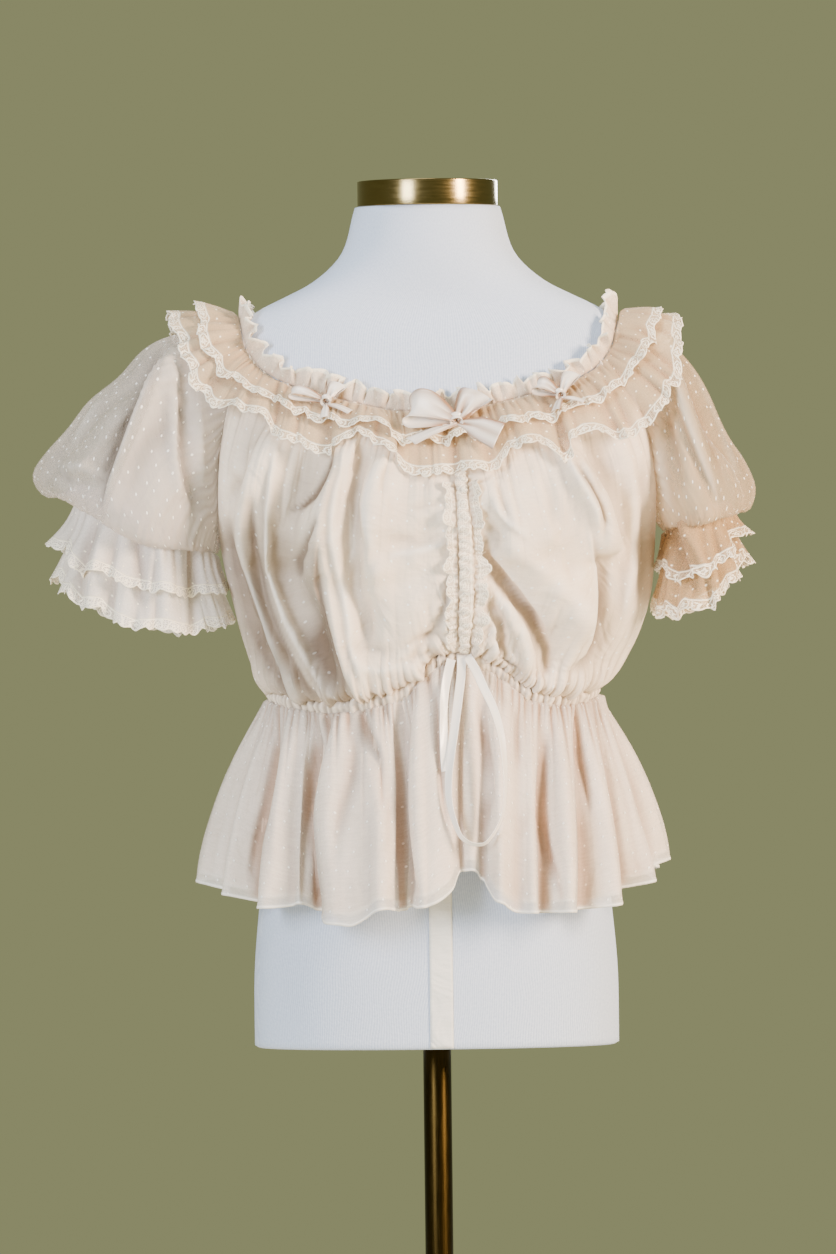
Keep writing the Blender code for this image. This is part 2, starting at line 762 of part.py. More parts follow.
def centre_front(left, right):
    """The ruched drawstring channel over the centre seam, with a lace frill on each side."""
    down = np.linspace(STRIP_TOP, 0.985, 2 * STRIP_RUCHES + 1)
    level = np.ones(len(down))
    ruche = np.where(np.arange(len(down)) % 2, 1.5, 0.0)
    near, proud = 2.2 * level, 5.0 + ruche
    half = STRIP_WIDTH / 2 * level
    sides = [on_panel(left, half, down, out) for out in (near, proud)]
    sides += [on_panel(right, half, down, out) for out in (proud, near)]
    crown = (sides[1] + sides[2]) / 2 - (0, 1, 0)
    loft("centre_strip", np.stack([*sides[:2], crown, *sides[2:]], 1), CREAM)
    down = np.linspace(STRIP_TOP + 0.05, 0.95, 2 * FRILL_RIPPLES + 1)
    level = np.ones(len(down))
    wave = np.where(np.arange(len(down)) % 2, 1.0, 0.0)
    for grid, name in ((left, "centre_lace_left"), (right, "centre_lace_right")):
        sheet = []
        for share in (0, 0.5, 1):
            across = (STRIP_WIDTH / 2 + 0.8 + (FRILL_WIDTH - 0.8) * share) * level
            sheet.append(on_panel(grid, across, down, 2.0 + 1.8 * share + 5.0 * wave * share**1.5))
        sheet = np.stack(sheet)
        wall(name, sheet, SHEER, LACE, False, outward(sheet, False))


# ---------------------------------------------------------------- sleeves and their tiers
def armhole(side):
    """The sleeve's first ring: from the shoulder down the front panel's edge and up the back's."""
    table = SIDE_EDGE_LEFT if side < 0 else SIDE_EDGE_RIGHT
    halves = []
    for last_turn, flip, count in ((RAGLAN_TURN, 1, FRONT_ROWS), (RAGLAN_BACK, -1, BACK_ROWS)):
        shoulder_gap = FORM_CLEARANCE + CLOTH + SHOULDER_EASE
        shoulder = [neck_point(side * turn, shoulder_gap)[0] for turn in (90, (90 + last_turn) / 2)]
        rows = [tuple(np.array(row) * (1, 1, flip, 1)) for row in table]
        end = waist_point(side * 90)[0] - (0, SEAM * flip, 0)
        edge = edge_points(neck_point(side * last_turn)[0], rows, end, count)
        knots = np.linspace(0, 1, count)
        down = np.linspace(0, UNDERARM, ARMHOLE_POINTS + 1)
        seam = np.stack([np.interp(down, knots, edge[:, i]) for i in range(3)], -1)
        seam[:, 0] += side * SEAM
        seam[0] = neck_point(side * (last_turn + 0.7 * flip))[0]
        halves.append(np.vstack([shoulder, seam]))
    front, back = halves
    front[-1] = (front[-1] + back[-1]) / 2
    return np.vstack([front, back[-2:0:-1]])


def ring_points(side, row, count):
    """A sleeve ring: 0 at its outer end, then by its front to its inner end and back."""
    a = np.linspace(0, 2 * math.pi, count, endpoint=False)
    share = (1 + np.cos(a)) / 2
    x = row.in_x + (row.out_x - row.in_x) * share
    z = row.in_z + (row.out_z - row.in_z) * share - row.sag * np.sin(a) ** 2
    return np.stack([side * x, -row.depth * np.sin(a), z], -1)


def tube_normals(grid):
    """Normals of a tube, turned out at its widest rows."""
    normals = grid_normals(grid, True)
    away = grid - grid.mean(1, keepdims=True)
    return normals * np.sign((normals[1:4] * away[1:4]).sum())


def sleeve_grid(side):
    rows = SLEEVE_LEFT if side < 0 else SLEEVE_RIGHT
    first = armhole(side)
    count = len(first)
    grid = np.array([first] + [ring_points(side, row, count) for row in rows])
    a = np.linspace(0, 2 * math.pi, count, endpoint=False)
    gathers = np.cos(SLEEVE_GATHERS * a) * (1 + np.cos(a)) / 2
    share = np.array([0, 0.35, 0.7, 1, 1, 0.9, 0.6, 0.2, 0, 0])[:, None]
    return grid + tube_normals(grid) * (4.0 * gathers[None] * share)[..., None]


def tier_grid(side, start, hem, inset, phase):
    """A sleeve ruffle from the elastic ring to its hem; its ripples die out towards the body."""
    count = 4 * TIER_RIPPLES
    a = np.linspace(0, 2 * math.pi, count, endpoint=False)
    outer_share = (1 + np.cos(a)) / 2
    first, last = ring_points(side, start, count), ring_points(side, hem, count)
    level = np.array([1, 1, 0])
    first = first - unit((first - first.mean(0)) * level) * inset - (0, 0, 2 * SEAM)
    away = unit((last - last.mean(0)) * level)
    rows = []
    for t in (0, 0.5, 1.0):
        flare = np.array([t**1.5, t**1.5, t])
        ripple = TIER_WAVE * t**1.5 * np.cos(TIER_RIPPLES * a + phase) * (0.1 + 0.9 * outer_share)
        rows.append(first + (last - first) * flare + away * ripple[:, None])
    return np.array(rows)


def sleeves():
    sides = (
        (-1, "sleeve_left", SLEEVE_LEFT, UPPER_TIER_LEFT, LOWER_TIER_LEFT),
        (1, "sleeve_right", SLEEVE_RIGHT, UPPER_TIER_RIGHT, LOWER_TIER_RIGHT),
    )
    for side, name, rows, upper, lower in sides:
        grid = sleeve_grid(side)
        outwards = tube_normals(grid)
        outwards[0, :, 0] = 0
        outwards[0] = unit(outwards[0])
        for i, turn in SHOULDER_TURNS:
            outwards[0, i] = unit(neck_point(side * turn, 1)[0] - neck_point(side * turn, 0)[0])
        wall(name, grid, CLOTH, BLUSH, True, outwards)
        for place, hem, inset, phase in (
            ("upper", upper, SEAM, 0.0),
            ("lower", lower, 2 * SEAM + SHEER + 0.6, 1.4),
        ):
            tier = tier_grid(side, rows[-1], hem, inset, phase)
            wall(f"{name}_tier_{place}", tier, SHEER, LACE, True, tube_normals(tier))


# ---------------------------------------------------------------- neck ruffles
def ruffle_surface(turn, t, reach, lift, top_gap):
    """A neck ruffle without its ripples: its points and normals at a turn and share of depth."""
    turn = np.atleast_1d(np.asarray(turn, float))
    tops, falls = [], []
    for step in (-3.0, 0.0, 3.0):
        top = neck_point(turn + step, top_gap)
        fall = closed_smooth(NECK_HEM, turn + step) - top
        falls.append(unit(fall) * reach if reach else fall)
        tops.append(top)
    top, fall = tops[1], falls[1]
    normal = unit(np.cross(tops[2] + falls[2] - tops[0] - falls[0], fall))
    normal = normal * np.sign(normal[:, 2:3])
    t = np.broadcast_to(np.asarray(t, float), turn.shape)[:, None]
    point = top + fall * t + normal * (lift * t + 3 * np.sin(math.pi * t))
    facing = unit(neck_point(turn, top_gap + 1) - top)
    return point, unit(facing * (1 - t) ** 3 + normal * (1 - (1 - t) ** 3))


def neck_ruffle(name, reach, lift, top_gap, phase):
    turn = np.linspace(-180, 180, 4 * NECK_RIPPLES, endpoint=False)
    grid, outwards = [], []
    for t in (0, 0.5, 1.0):
        point, normal = ruffle_surface(turn, t, reach, lift, top_gap)
        ripple = NECK_WAVE * t * np.cos(np.radians(turn) * NECK_RIPPLES + phase)
        grid.append(point + normal * ripple[:, None])
        outwards.append(normal)
    wall(name, np.array(grid), SHEER, LACE, True, np.array(outwards))


def neck():
    neck_ruffle("neck_ruffle_lower", None, 0.0, LOWER_TIER_GAP, 0.0)
    neck_ruffle("neck_ruffle_upper", UPPER_TIER, UPPER_TIER_LIFT, UPPER_TIER_GAP, 1.3)
    neck_heading()
    for row in BOWS:
        bow(row)


def neck_heading():
    """The frill above the elastic, which stands up round the neckline."""
    count = 2 * HEADING_RIPPLES
    turn = np.linspace(-180, 180, count, endpoint=False)
    low = neck_point(turn, FORM_CLEARANCE + CLOTH + 1.5)
    outwards = unit(low - neck_point(turn, 0.0))
    along = unit(np.roll(low, -1, 0) - np.roll(low, 1, 0))
    up = np.cross(outwards, along)
    up *= np.sign(up[:, 2:3])
    ripple = np.where(np.arange(count) % 2, 0.0, 4.0)
    foot = low + up * 2 * SEAM + outwards * 0.5
    head = foot + up * HEADING + outwards * (1.5 + ripple)[:, None]
    wall("neck_heading", np.array([foot, head]), SHEER, LACE, True, np.array([outwards, outwards]))


# ---------------------------------------------------------------- ribbons
def ribbon(name, path, across, widths):
    """A flat strip that follows path; across says which way its width lies."""
    path = np.asarray(path, float)
    across = unit(np.broadcast_to(np.asarray(across, float), path.shape))
    tangent = unit(np.gradient(path, axis=0))
    facing = unit(np.cross(tangent, across))
    half = np.broadcast_to(np.asarray(widths, float), (len(path),))[:, None] / 2
    side, thick = across * half, facing * SHEER / 2
    corners = [side * i + thick * j for i, j in ((-1, -1), (1, -1), (1, 1), (-1, 1))]
    return loft(name, np.stack([path + corner for corner in corners], 1), SATIN)


def bow(row):
    """A ribbon bow: a knot, two loops and two tails, joined into one solid."""

    def on_ruffle(turn, down, out):
        spot, facing = ruffle_surface(turn, down, UPPER_TIER, UPPER_TIER_LIFT, UPPER_TIER_GAP)
        return spot[0] + facing[0] * out

    up = unit(on_ruffle(row.turn, row.down - 0.1, 0) - on_ruffle(row.turn, row.down + 0.2, 0))
    sideways = on_ruffle(row.turn + 8, row.down, 0) - on_ruffle(row.turn - 8, row.down, 0)
    sideways = unit(sideways - up * (sideways @ up))
    out = np.cross(sideways, up)
    centre = on_ruffle(row.turn, row.down, 0) + out * row.stand
    a = np.linspace(0, 2 * math.pi, 8, endpoint=False)[:, None]
    rings = []
    for height, size in ((-0.5, 0.75), (-0.25, 1.0), (0.25, 1.0), (0.5, 0.75)):
        ring = sideways * 4.5 * size * np.cos(a) + out * 3.6 * size * np.sin(a)
        rings.append(centre + ring + up * height * row.knot)
    knot = loft(row.name, rings, SATIN)
    joined = []
    for side, tilt, lean in ((-1, row.tilt_left, row.tail_left), (1, row.tilt_right, row.tail_right)):
        tilt = math.radians(tilt)
        away = sideways * side * math.cos(tilt) + up * math.sin(tilt)
        width_way = up * math.cos(tilt) - sideways * side * math.sin(tilt)
        path = [centre + away * row.loop * step.reach + out * step.out for step in BOW_LOOP]
        widths = [row.width * step.width for step in BOW_LOOP]
        joined.append(ribbon(f"{row.name}_loop_{side}", path, width_way, widths))
        path = [centre - up]
        for share in (0.35, 0.7, 1.0):
            down = row.down + (1 - row.down) * row.tail * share
            path.append(on_ruffle(row.turn + lean * share, down, row.stand - 2 + 2 * share))
        widths = np.array([0.35, 0.8, 1, 1]) * row.tail_width
        joined.append(ribbon(f"{row.name}_tail_{side}", path, sideways, widths))
    for piece in joined:
        union = knot.modifiers.new(piece.name, "BOOLEAN")
        union.operation = "UNION"
        union.object = piece
        piece.hide_render = True
        piece.display_type = "WIRE"


def drawstring():
    for name, route, count in (("drawstring", DRAWSTRING, 23), ("drawstring_end", DRAWSTRING_END, 9)):
        path = flowing(route, count)
        across = np.cross(np.gradient(path, axis=0), (0, -1, 0))
        ribbon(name, path, across, RIBBON)


# ---------------------------------------------------------------- waist and peplum
def waist_casing():
    """The gathered seam between bodice and peplum."""
    count = 2 * CASING_RIPPLES
    angle = np.linspace(-180, 180, count, endpoint=False)
    pucker = np.where(np.arange(count) % 2, 1.8, 0.0)
    rows = []
    for drop, out in ((3 * SEAM, 0.2), (CASING_HEIGHT / 2, 1.2), (CASING_HEIGHT, 0.2)):
        points = waist_point(angle, drop, out)
        rows.append(points + unit(points * (1, 1, 0)) * (pucker * (out > 1))[:, None])
    grid = np.array(rows)
    outwards = np.array([unit(grid[1] * (1, 1, 0))] * 3)
    wall("waist_casing", grid, 2.0, CREAM, True, outwards)


def peplum_grid(shares):
    """The overlay's outer face, two columns for each fold: shares are how far down rows lie."""
    rows = [(i, *fold) for i, fold in enumerate(PEPLUM)]
    rows.append((len(PEPLUM), PEPLUM[0].angle + 360, *PEPLUM[0][1:]))
    position = np.arange(2 * len(PEPLUM)) / 2
    angle, lift, hem_z = smooth(rows, position).T
    at_waist = angle + FAN * np.sin(2 * np.radians(angle))
    top = waist_point(at_waist, CASING_HEIGHT + 4 * SEAM, 0.2)
    a = np.radians(angle)
    depth = np.where(np.cos(a) > 0, HEM_FRONT, HEM_BACK)
    hem = np.stack([HEM_HALF_WIDTH * np.sin(a), -depth * np.cos(a), hem_z], -1)
    away = unit(np.stack([np.sin(a) / HEM_HALF_WIDTH, -np.cos(a) / depth, 0 * a], -1))
    grid = []
    for v in shares:
        flare = 1 - (1 - v) ** 1.6
        point = top * (1 - flare) + hem * flare
        point[:, 2] = top[:, 2] * (1 - v) + hem[:, 2] * v
        grid.append(point + away * (FOLD_DEPTH * lift * v**0.7)[:, None])
    return np.array(grid)


def peplum():
    grid = peplum_grid((0, 0.25, 0.58, 1 - LINING_SHORT / 175, 1))
    outwards = outward(grid, True)
    wall("peplum_overlay", grid, SHEER, CREAM, True, outwards)
    inside = (grid - outwards * (SHEER + SEAM))[:-1]
    wall("peplum_lining", inside, SHEER, LACE, True, outwards[:-1])


def build():
    for old in list(bpy.data.objects):
        bpy.data.objects.remove(old, do_unlink=True)
    stand()
    dress_form()
    bodice()
    sleeves()
    neck()
    drawstring()
    waist_casing()
    peplum()


build()
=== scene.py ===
import math

import bmesh
import bpy
import numpy as np
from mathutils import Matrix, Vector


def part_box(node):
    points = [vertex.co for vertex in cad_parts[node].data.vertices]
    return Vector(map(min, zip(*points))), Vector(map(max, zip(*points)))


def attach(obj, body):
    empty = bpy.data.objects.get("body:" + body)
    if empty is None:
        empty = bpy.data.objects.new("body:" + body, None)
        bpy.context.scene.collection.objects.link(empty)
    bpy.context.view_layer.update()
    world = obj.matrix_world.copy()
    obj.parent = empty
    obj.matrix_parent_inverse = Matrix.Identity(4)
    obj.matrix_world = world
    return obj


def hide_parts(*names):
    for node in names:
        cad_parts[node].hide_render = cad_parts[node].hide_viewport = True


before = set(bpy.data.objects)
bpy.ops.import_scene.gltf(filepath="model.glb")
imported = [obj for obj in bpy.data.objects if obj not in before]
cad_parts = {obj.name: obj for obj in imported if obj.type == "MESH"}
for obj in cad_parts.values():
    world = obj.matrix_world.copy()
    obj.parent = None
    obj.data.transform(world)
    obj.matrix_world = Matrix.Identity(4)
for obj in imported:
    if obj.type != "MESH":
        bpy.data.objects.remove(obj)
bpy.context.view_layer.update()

# %% [markdown]
# ## The camera
# The blouse is seen straight from the front, from far away, so that it looks as flat as it does
# through a long lens. Blender's sensor width covers the frame's longer side, here its height. The
# camera leans by two thirds of a degree, as it would on a tripod that isn't quite level.
# %% Camera
VIEW_HEIGHT = 1.12  # metres of the scene in the frame's height
DISTANCE = 9.0
AIM_X, AIM_Z = -0.0127, 0.9033
LEAN = 0.0116  # radians

camera_data = bpy.data.cameras.new("camera")
camera_data.sensor_width = 36
camera_data.lens = camera_data.sensor_width * DISTANCE / VIEW_HEIGHT
camera_data.clip_end = 100
camera = bpy.data.objects.new("camera", camera_data)
camera.location = (AIM_X, -DISTANCE, AIM_Z)
camera.rotation_euler = (math.radians(90), LEAN, 0)
bpy.context.scene.collection.objects.link(camera)
bpy.context.scene.camera = camera
print("lens in mm:", round(camera_data.lens))

# %% [markdown]
# ## Curves through a few points
# Cloth and ribbons flow, so every table of points in this lesson is joined by smooth cubic
# curves. Each curve passes through its points with the slope that their neighbours give it.
# numpy works all of them out at once, for single lines and for whole grids of points alike.
# %% Curve helpers
MM = 0.001


def through(values, knots, at):
    """A smooth curve through values, which lie at the knots, read off at other places."""
    values, knots = np.asarray(values, float), np.asarray(knots, float)
    slope = np.gradient(values, knots, axis=0)
    i = np.clip(np.searchsorted(knots, at, "right") - 1, 0, len(knots) - 2)
    step = np.diff(knots)[i]
    shape = (len(i),) + (1,) * (values.ndim - 1)
    t = ((at - knots[i]) / step).reshape(shape)
    step = step.reshape(shape)
    return (
        values[i] * (1 + 2 * t) * (1 - t) ** 2
        + values[i + 1] * t * t * (3 - 2 * t)
        + slope[i] * step * t * (1 - t) ** 2
        - slope[i + 1] * step * t * t * (1 - t)
    )


def unit(vectors):
    return vectors / np.maximum(np.linalg.norm(vectors, axis=-1, keepdims=True), 1e-9)


def walked(points):
    """How far along a line of points each one lies."""
    return np.append(0, np.linalg.norm(np.diff(points, axis=0), axis=1).cumsum())


def flowing(route, count):
    """Even steps along the smooth line through a route."""
    knots = walked(np.asarray(route, float))
    fine = through(route, knots, np.linspace(0, knots[-1], 12 * len(route)))
    run = walked(fine)
    even = np.linspace(0, run[-1], count)
    return np.stack([np.interp(even, run, fine[:, i]) for i in range(3)], -1)


print("curve helpers are ready")

# %% [markdown]
# ## Materials: first the tools
# A designer picks colours as sRGB hex values, but a shader wants linear light, so one function
# turns them. A new material comes with two small tools of its own: one adds a node, sets it, links
# it and hands back one of its outputs, and the other sets or links the shader's own sockets. A
# socket takes a number, a hex colour or another node's output.
# %% Material tools


def linear(hex_colour):
    """A hex colour as the linear RGBA that shaders use."""
    channels = [int(hex_colour[i : i + 2], 16) / 255 for i in (1, 3, 5)]
    light = [c / 12.92 if c <= 0.04045 else ((c + 0.055) / 1.055) ** 2.4 for c in channels]
    return (*light, 1)


def new_material(name):
    """A material, a function that adds a node to it, and one that fills its shader's sockets."""
    material = bpy.data.materials.new(name)
    material.use_nodes = True
    tree = material.node_tree

    def fill(made, inputs):
        for key, value in inputs.items():
            if isinstance(value, bpy.types.NodeSocket):
                tree.links.new(value, made.inputs[key])
            else:
                made.inputs[key].default_value = linear(value) if isinstance(value, str) else value
        return made

    def node(kind, inputs=None, out=0, **settings):
        """Adds a node. Inputs are values or other nodes' outputs; out says which output to use."""
        made = tree.nodes.new("ShaderNode" + kind)
        for key, value in settings.items():
            setattr(made, key, value)
        return fill(made, inputs or {}).outputs[out]

    def shader(**sockets):
        """Fills sockets of the Principled shader; an underscore stands for a space."""
        renamed = {key.replace("_", " "): value for key, value in sockets.items()}
        fill(tree.nodes["Principled BSDF"], renamed)

    return material, node, shader


# settings that many nodes share
COLOURS = {"data_type": "RGBA", "out": 2}
FLAT_NOISE = {"noise_dimensions": "2D"}
FLAT_CELLS = {"voronoi_dimensions": "2D"}
TIMES_PLUS = {"operation": "MULTIPLY_ADD"}
print("material tools are ready")

# %% [markdown]
# ## Materials: satin, brass and jersey
# Satin ribbon is polyester woven with long floats, so it has a soft silky shine that runs along
# the ribbon. Where it folds on itself, at its edges and where it turns from the light, it gets
# painted shade. The stand is brass: polished on the neck cap, dark and brushed on pole and base.
# The form is covered with stretched cotton jersey, whose fine ribs run down it. What is finer than
# about a millimetre would vanish between pixels, so it is drawn coarser: satin's threads 0.4 mm
# apart and not 0.1, brushing marks 1.1 mm apart and not 0.2, and the jersey's ribs 2.2 mm apart
# and not 1.
# %% Satin, brass, jersey
RIB = 2.2 * MM
# marks per metre in x, y and z: round the turned cap, and down the brushed tube
TURNED_MARKS = (60, 60, 900)
BRUSHED_MARKS = (900, 900, 40)


def satin(name):
    """Woven polyester satin: even colour with painted shade where the fold attribute says, silky
    highlights, the faintest grain along it.
    """
    material, node, shader = new_material(name)
    uv = node("UVMap", uv_map="Cloth")
    along = node("Mapping", {"Vector": uv, "Scale": (1 / (0.4 * MM), 60, 1)})
    grain = node("TexNoise", {"Vector": along, "Scale": 1, "Detail": 2}, **FLAT_NOISE)
    silk = node("Mix", {0: grain, 6: "#FBF1E8", 7: "#FFFDF9"}, **COLOURS)
    # painted shade: the fold attribute darkens the ribbon to a warm brown where it folds, near the
    # knot, at its edges and where it turns from the light
    fold = node("Attribute", out="Fac", attribute_name="fold")
    colour = node("Mix", {0: fold, 6: silk, 7: "#9A7456"}, **COLOURS)
    bump = node("Bump", {"Height": grain, "Strength": 0.12, "Distance": 0.0003})
    shader(Roughness=0.24, Specular_IOR_Level=0.9, Anisotropic=0.4, Sheen_Weight=0.1)
    shader(Base_Color=colour, Normal=bump)
    return material


def brass(name, low, high, rough_low, rough_high, marks):
    """Brass sheet or tube: bare metal with brushing or tarnish in its colour and roughness."""
    material, node, shader = new_material(name)
    place = node("TexCoord", out="Object")
    stretched = node("Mapping", {"Vector": place, "Scale": marks})
    grain = node("TexNoise", {"Vector": stretched, "Scale": 1, "Detail": 4, "Roughness": 0.6})
    colour = node("Mix", {0: grain, 6: low, 7: high}, **COLOURS)
    rough = node("MapRange", {0: grain, 1: 0.3, 2: 0.7, 3: rough_low, 4: rough_high})
    bump = node("Bump", {"Height": grain, "Strength": 0.08, "Distance": 0.0004})
    shader(Metallic=1.0, Base_Color=colour, Roughness=rough, Normal=bump)
    return material


def jersey(name):
    """Stretched cotton jersey: matt bluish white, with fine ribs down the form."""
    material, node, shader = new_material(name)
    uv = node("UVMap", uv_map="Cloth")
    wavy = node("TexNoise", {"Vector": uv, "Scale": 9, "Detail": 2}, **FLAT_NOISE)
    across = node("SeparateXYZ", {0: uv}, "X")
    drift = node("Math", {0: wavy, 1: 0.02, 2: across}, **TIMES_PLUS)
    turns = node("Math", {0: drift, 1: 2 * math.pi / RIB}, operation="MULTIPLY")
    rib = node("Math", {0: turns}, operation="SINE")
    fuzz = node("TexNoise", {"Vector": uv, "Scale": 420, "Detail": 3}, **FLAT_NOISE)
    mixed = node("Math", {0: rib, 1: 0.3, 2: fuzz}, **TIMES_PLUS)
    colour = node("Mix", {0: mixed, 6: "#B3C4E2", 7: "#D6E2F8"}, **COLOURS)
    bump = node("Bump", {"Height": mixed, "Strength": 0.25, "Distance": 0.0004})
    shader(Roughness=0.85, Sheen_Weight=0.12, Base_Color=colour, Normal=bump)
    return material


SATIN = satin("woven_satin")
CAP_BRASS = brass("polished_brass", "#7A6A44", "#90805A", 0.16, 0.24, TURNED_MARKS)
STAND_BRASS = brass("antique_brass", "#211A0A", "#372B13", 0.26, 0.4, BRUSHED_MARKS)
JERSEY = jersey("cotton_jersey")
print("materials:", [m.name for m in (SATIN, CAP_BRASS, STAND_BRASS, JERSEY)])

# %% [markdown]
# ## Materials: dotted chiffon
# The cloth is chiffon, a thin crêpe of tightly twisted yarn that looks matt and slightly pebbled,
# with small dots woven in, 14 to 18 mm apart. Where it is doubled or lined it is nearly opaque;
# alone it is a haze that shows what lies behind. Two attributes of the mesh steer it. The painted
# fold shade is 1 deep in a fold: there it paints shade in a darker, warmer colour, as light reaches
# a fold through other cloth, and it dims the dots. The other is 1 where cloth lies double, as on a
# rolled hem, and whitens it; along a fold's crest it is a painted highlight. A shell of cloth has
# two faces, and each adds its own opacity. Noise of scale 700 has pebbles 1.4 mm wide, and the
# threads lie 2 mm apart; the real ones, 0.3 and 0.1 mm, are too fine to show.
# %% Chiffon


def chiffon(name, light, deep, opacity, dot_size=1.3, spacing=18):
    """Polyester chiffon, matt and pebbled, with woven dots, painted shade and painted highlights;
    opacity is that of one face.
    """
    material, node, shader = new_material(name)
    uv = node("UVMap", uv_map="Cloth")
    valley = node("Attribute", out="Fac", attribute_name="valley")
    seam = node("Attribute", out="Fac", attribute_name="seam")
    # the crêpe: fine pebbles over thicker and thinner threads
    pebble = node("TexNoise", {"Vector": uv, "Scale": 700, "Detail": 2, "Roughness": 0.6}, **FLAT_NOISE)
    slubs = node("Mapping", {"Vector": uv, "Scale": (60, 500, 1)})
    thread = node("TexNoise", {"Vector": slubs, "Scale": 1, "Detail": 3}, **FLAT_NOISE)
    grain = node("Math", {0: pebble, 1: thread}, operation="ADD")
    grey = node("MapRange", {0: grain, 1: 0.7, 2: 1.3, 3: 0.94, 4: 1.04})
    # the dots, dimmed by painted shade in a fold; their size and spacing are millimetres
    cells = {"Vector": uv, "Scale": 1 / (spacing * MM), "Randomness": 0.45}
    apart = node("TexVoronoi", cells, "Distance", **FLAT_CELLS)
    edge = dot_size / spacing
    dot = node("MapRange", {0: apart, 1: edge, 2: 0.7 * edge, 3: 0.0, 4: 1.0})
    lit = node("MapRange", {0: valley, 1: 0.0, 2: 1.0, 3: 1.0, 4: 0.2})
    pale = node("Math", {0: dot, 1: lit}, operation="MULTIPLY")
    # dots, doubled cloth and the painted highlight on crests whiten the cloth
    dots_doubles_and_painted_highlights = node("Math", {0: pale, 1: seam}, operation="MAXIMUM")
    # the colour: cloudy on open cloth, with painted shade in the folds
    cloudy = node("TexNoise", {"Vector": uv, "Scale": 14, "Detail": 2}, **FLAT_NOISE)
    tint = node("MapRange", {0: cloudy, 1: 0.3, 2: 0.7, 3: 0.0, 4: 0.16})
    shade = node("Math", {0: valley, 1: 0.8, 2: tint}, use_clamp=True, **TIMES_PLUS)
    base = node("Mix", {0: shade, 6: light, 7: deep}, **COLOURS)
    woven = node("Mix", {0: 1.0, 6: base, 7: grey}, blend_type="MULTIPLY", **COLOURS)
    colour = node("Mix", {0: dots_doubles_and_painted_highlights, 6: woven, 7: "#FFFDF8"}, **COLOURS)
    # the relief: raised dots and grain, over a soft rumple
    height = node("Math", {0: dot, 1: 1.5, 2: grain}, **TIMES_PLUS)
    bump = node("Bump", {"Height": height, "Strength": 0.3, "Distance": 0.0004})
    rumple = {"Vector": uv, "Scale": 24, "Detail": 2, "Distortion": 1.2}
    rumpled = node("TexNoise", rumple, **FLAT_NOISE)
    soft = node("Bump", {"Height": rumpled, "Normal": bump, "Strength": 0.6, "Distance": 0.006})
    shader(Roughness=0.72, Sheen_Weight=0.12, Sheen_Roughness=0.4, Specular_IOR_Level=0.3)
    shader(Base_Color=colour, Normal=soft)
    if opacity < 1:
        layers = node("Attribute", out="Fac", attribute_name="layers")
        cover = node("MapRange", {0: grain, 1: 0.6, 2: 1.4, 3: opacity * 0.88, 4: opacity * 1.12})
        cover = node("Math", {0: valley, 1: 0.5 * (1 - opacity), 2: cover}, **TIMES_PLUS)
        for denser in (dot, dots_doubles_and_painted_highlights, layers):
            cover = node("Math", {0: cover, 1: denser}, operation="MAXIMUM")
        shader(Alpha=cover)
    return material


CHIFFON = chiffon("lined_dotted_chiffon", "#F9EAD8", "#6E5A49", 1.0)
# the overlay and the lining are a little paler than the bodice's chiffon: painted light, for light that
# comes through the peplum's thin layers
OVERLAY = chiffon("dotted_chiffon_overlay", "#FFF8F0", "#BE9E86", 0.38)
# the two sleeve cloths are one chiffon in painted light: paler and cool for the left sleeve, darker and
# warm for the right
SHEER_COOL_LIGHT = chiffon("sheer_chiffon_painted_cool_light", "#F3E7DF", "#6E6157", 0.25, spacing=14)
SHEER_WARM_SHADE = chiffon("sheer_chiffon_painted_warm_shade", "#DFC8A8", "#957557", 0.27, spacing=14)
LINING = chiffon("plain_lining", "#FBECDE", "#BC9A80", 1.0, dot_size=0.01)
COTTON = chiffon("cotton_tape", "#F1F1EE", "#D8D4CC", 1.0, dot_size=0.01)
print("materials:", [m.name for m in (CHIFFON, OVERLAY, SHEER_COOL_LIGHT, SHEER_WARM_SHADE, LINING, COTTON)])

# %% [markdown]
# ## Materials: ruffle cloth with its lace
# The ruffles are of the same chiffon and end in a band of machine lace 11 mm deep, whose edge is a
# row of scallops 12 mm wide. Lace is a net with denser motifs: each scallop here has a corded
# edge, an arch and a small five-petalled flower, under a straight cord. The Lace UV map counts
# scallops across and millimetres up from their tips, so the pattern follows every ripple, and a
# little noise lets each flower drift, as on hand-guided lace. The real net's holes are 1 mm wide;
# these are 1.7 mm, to be seen at all.
# %% Lace
# all in millimetres
SCALLOP = 12.0
LACE_DEPTH = 11.5
NET_HOLE = 1.7
DOTS_APART = 16


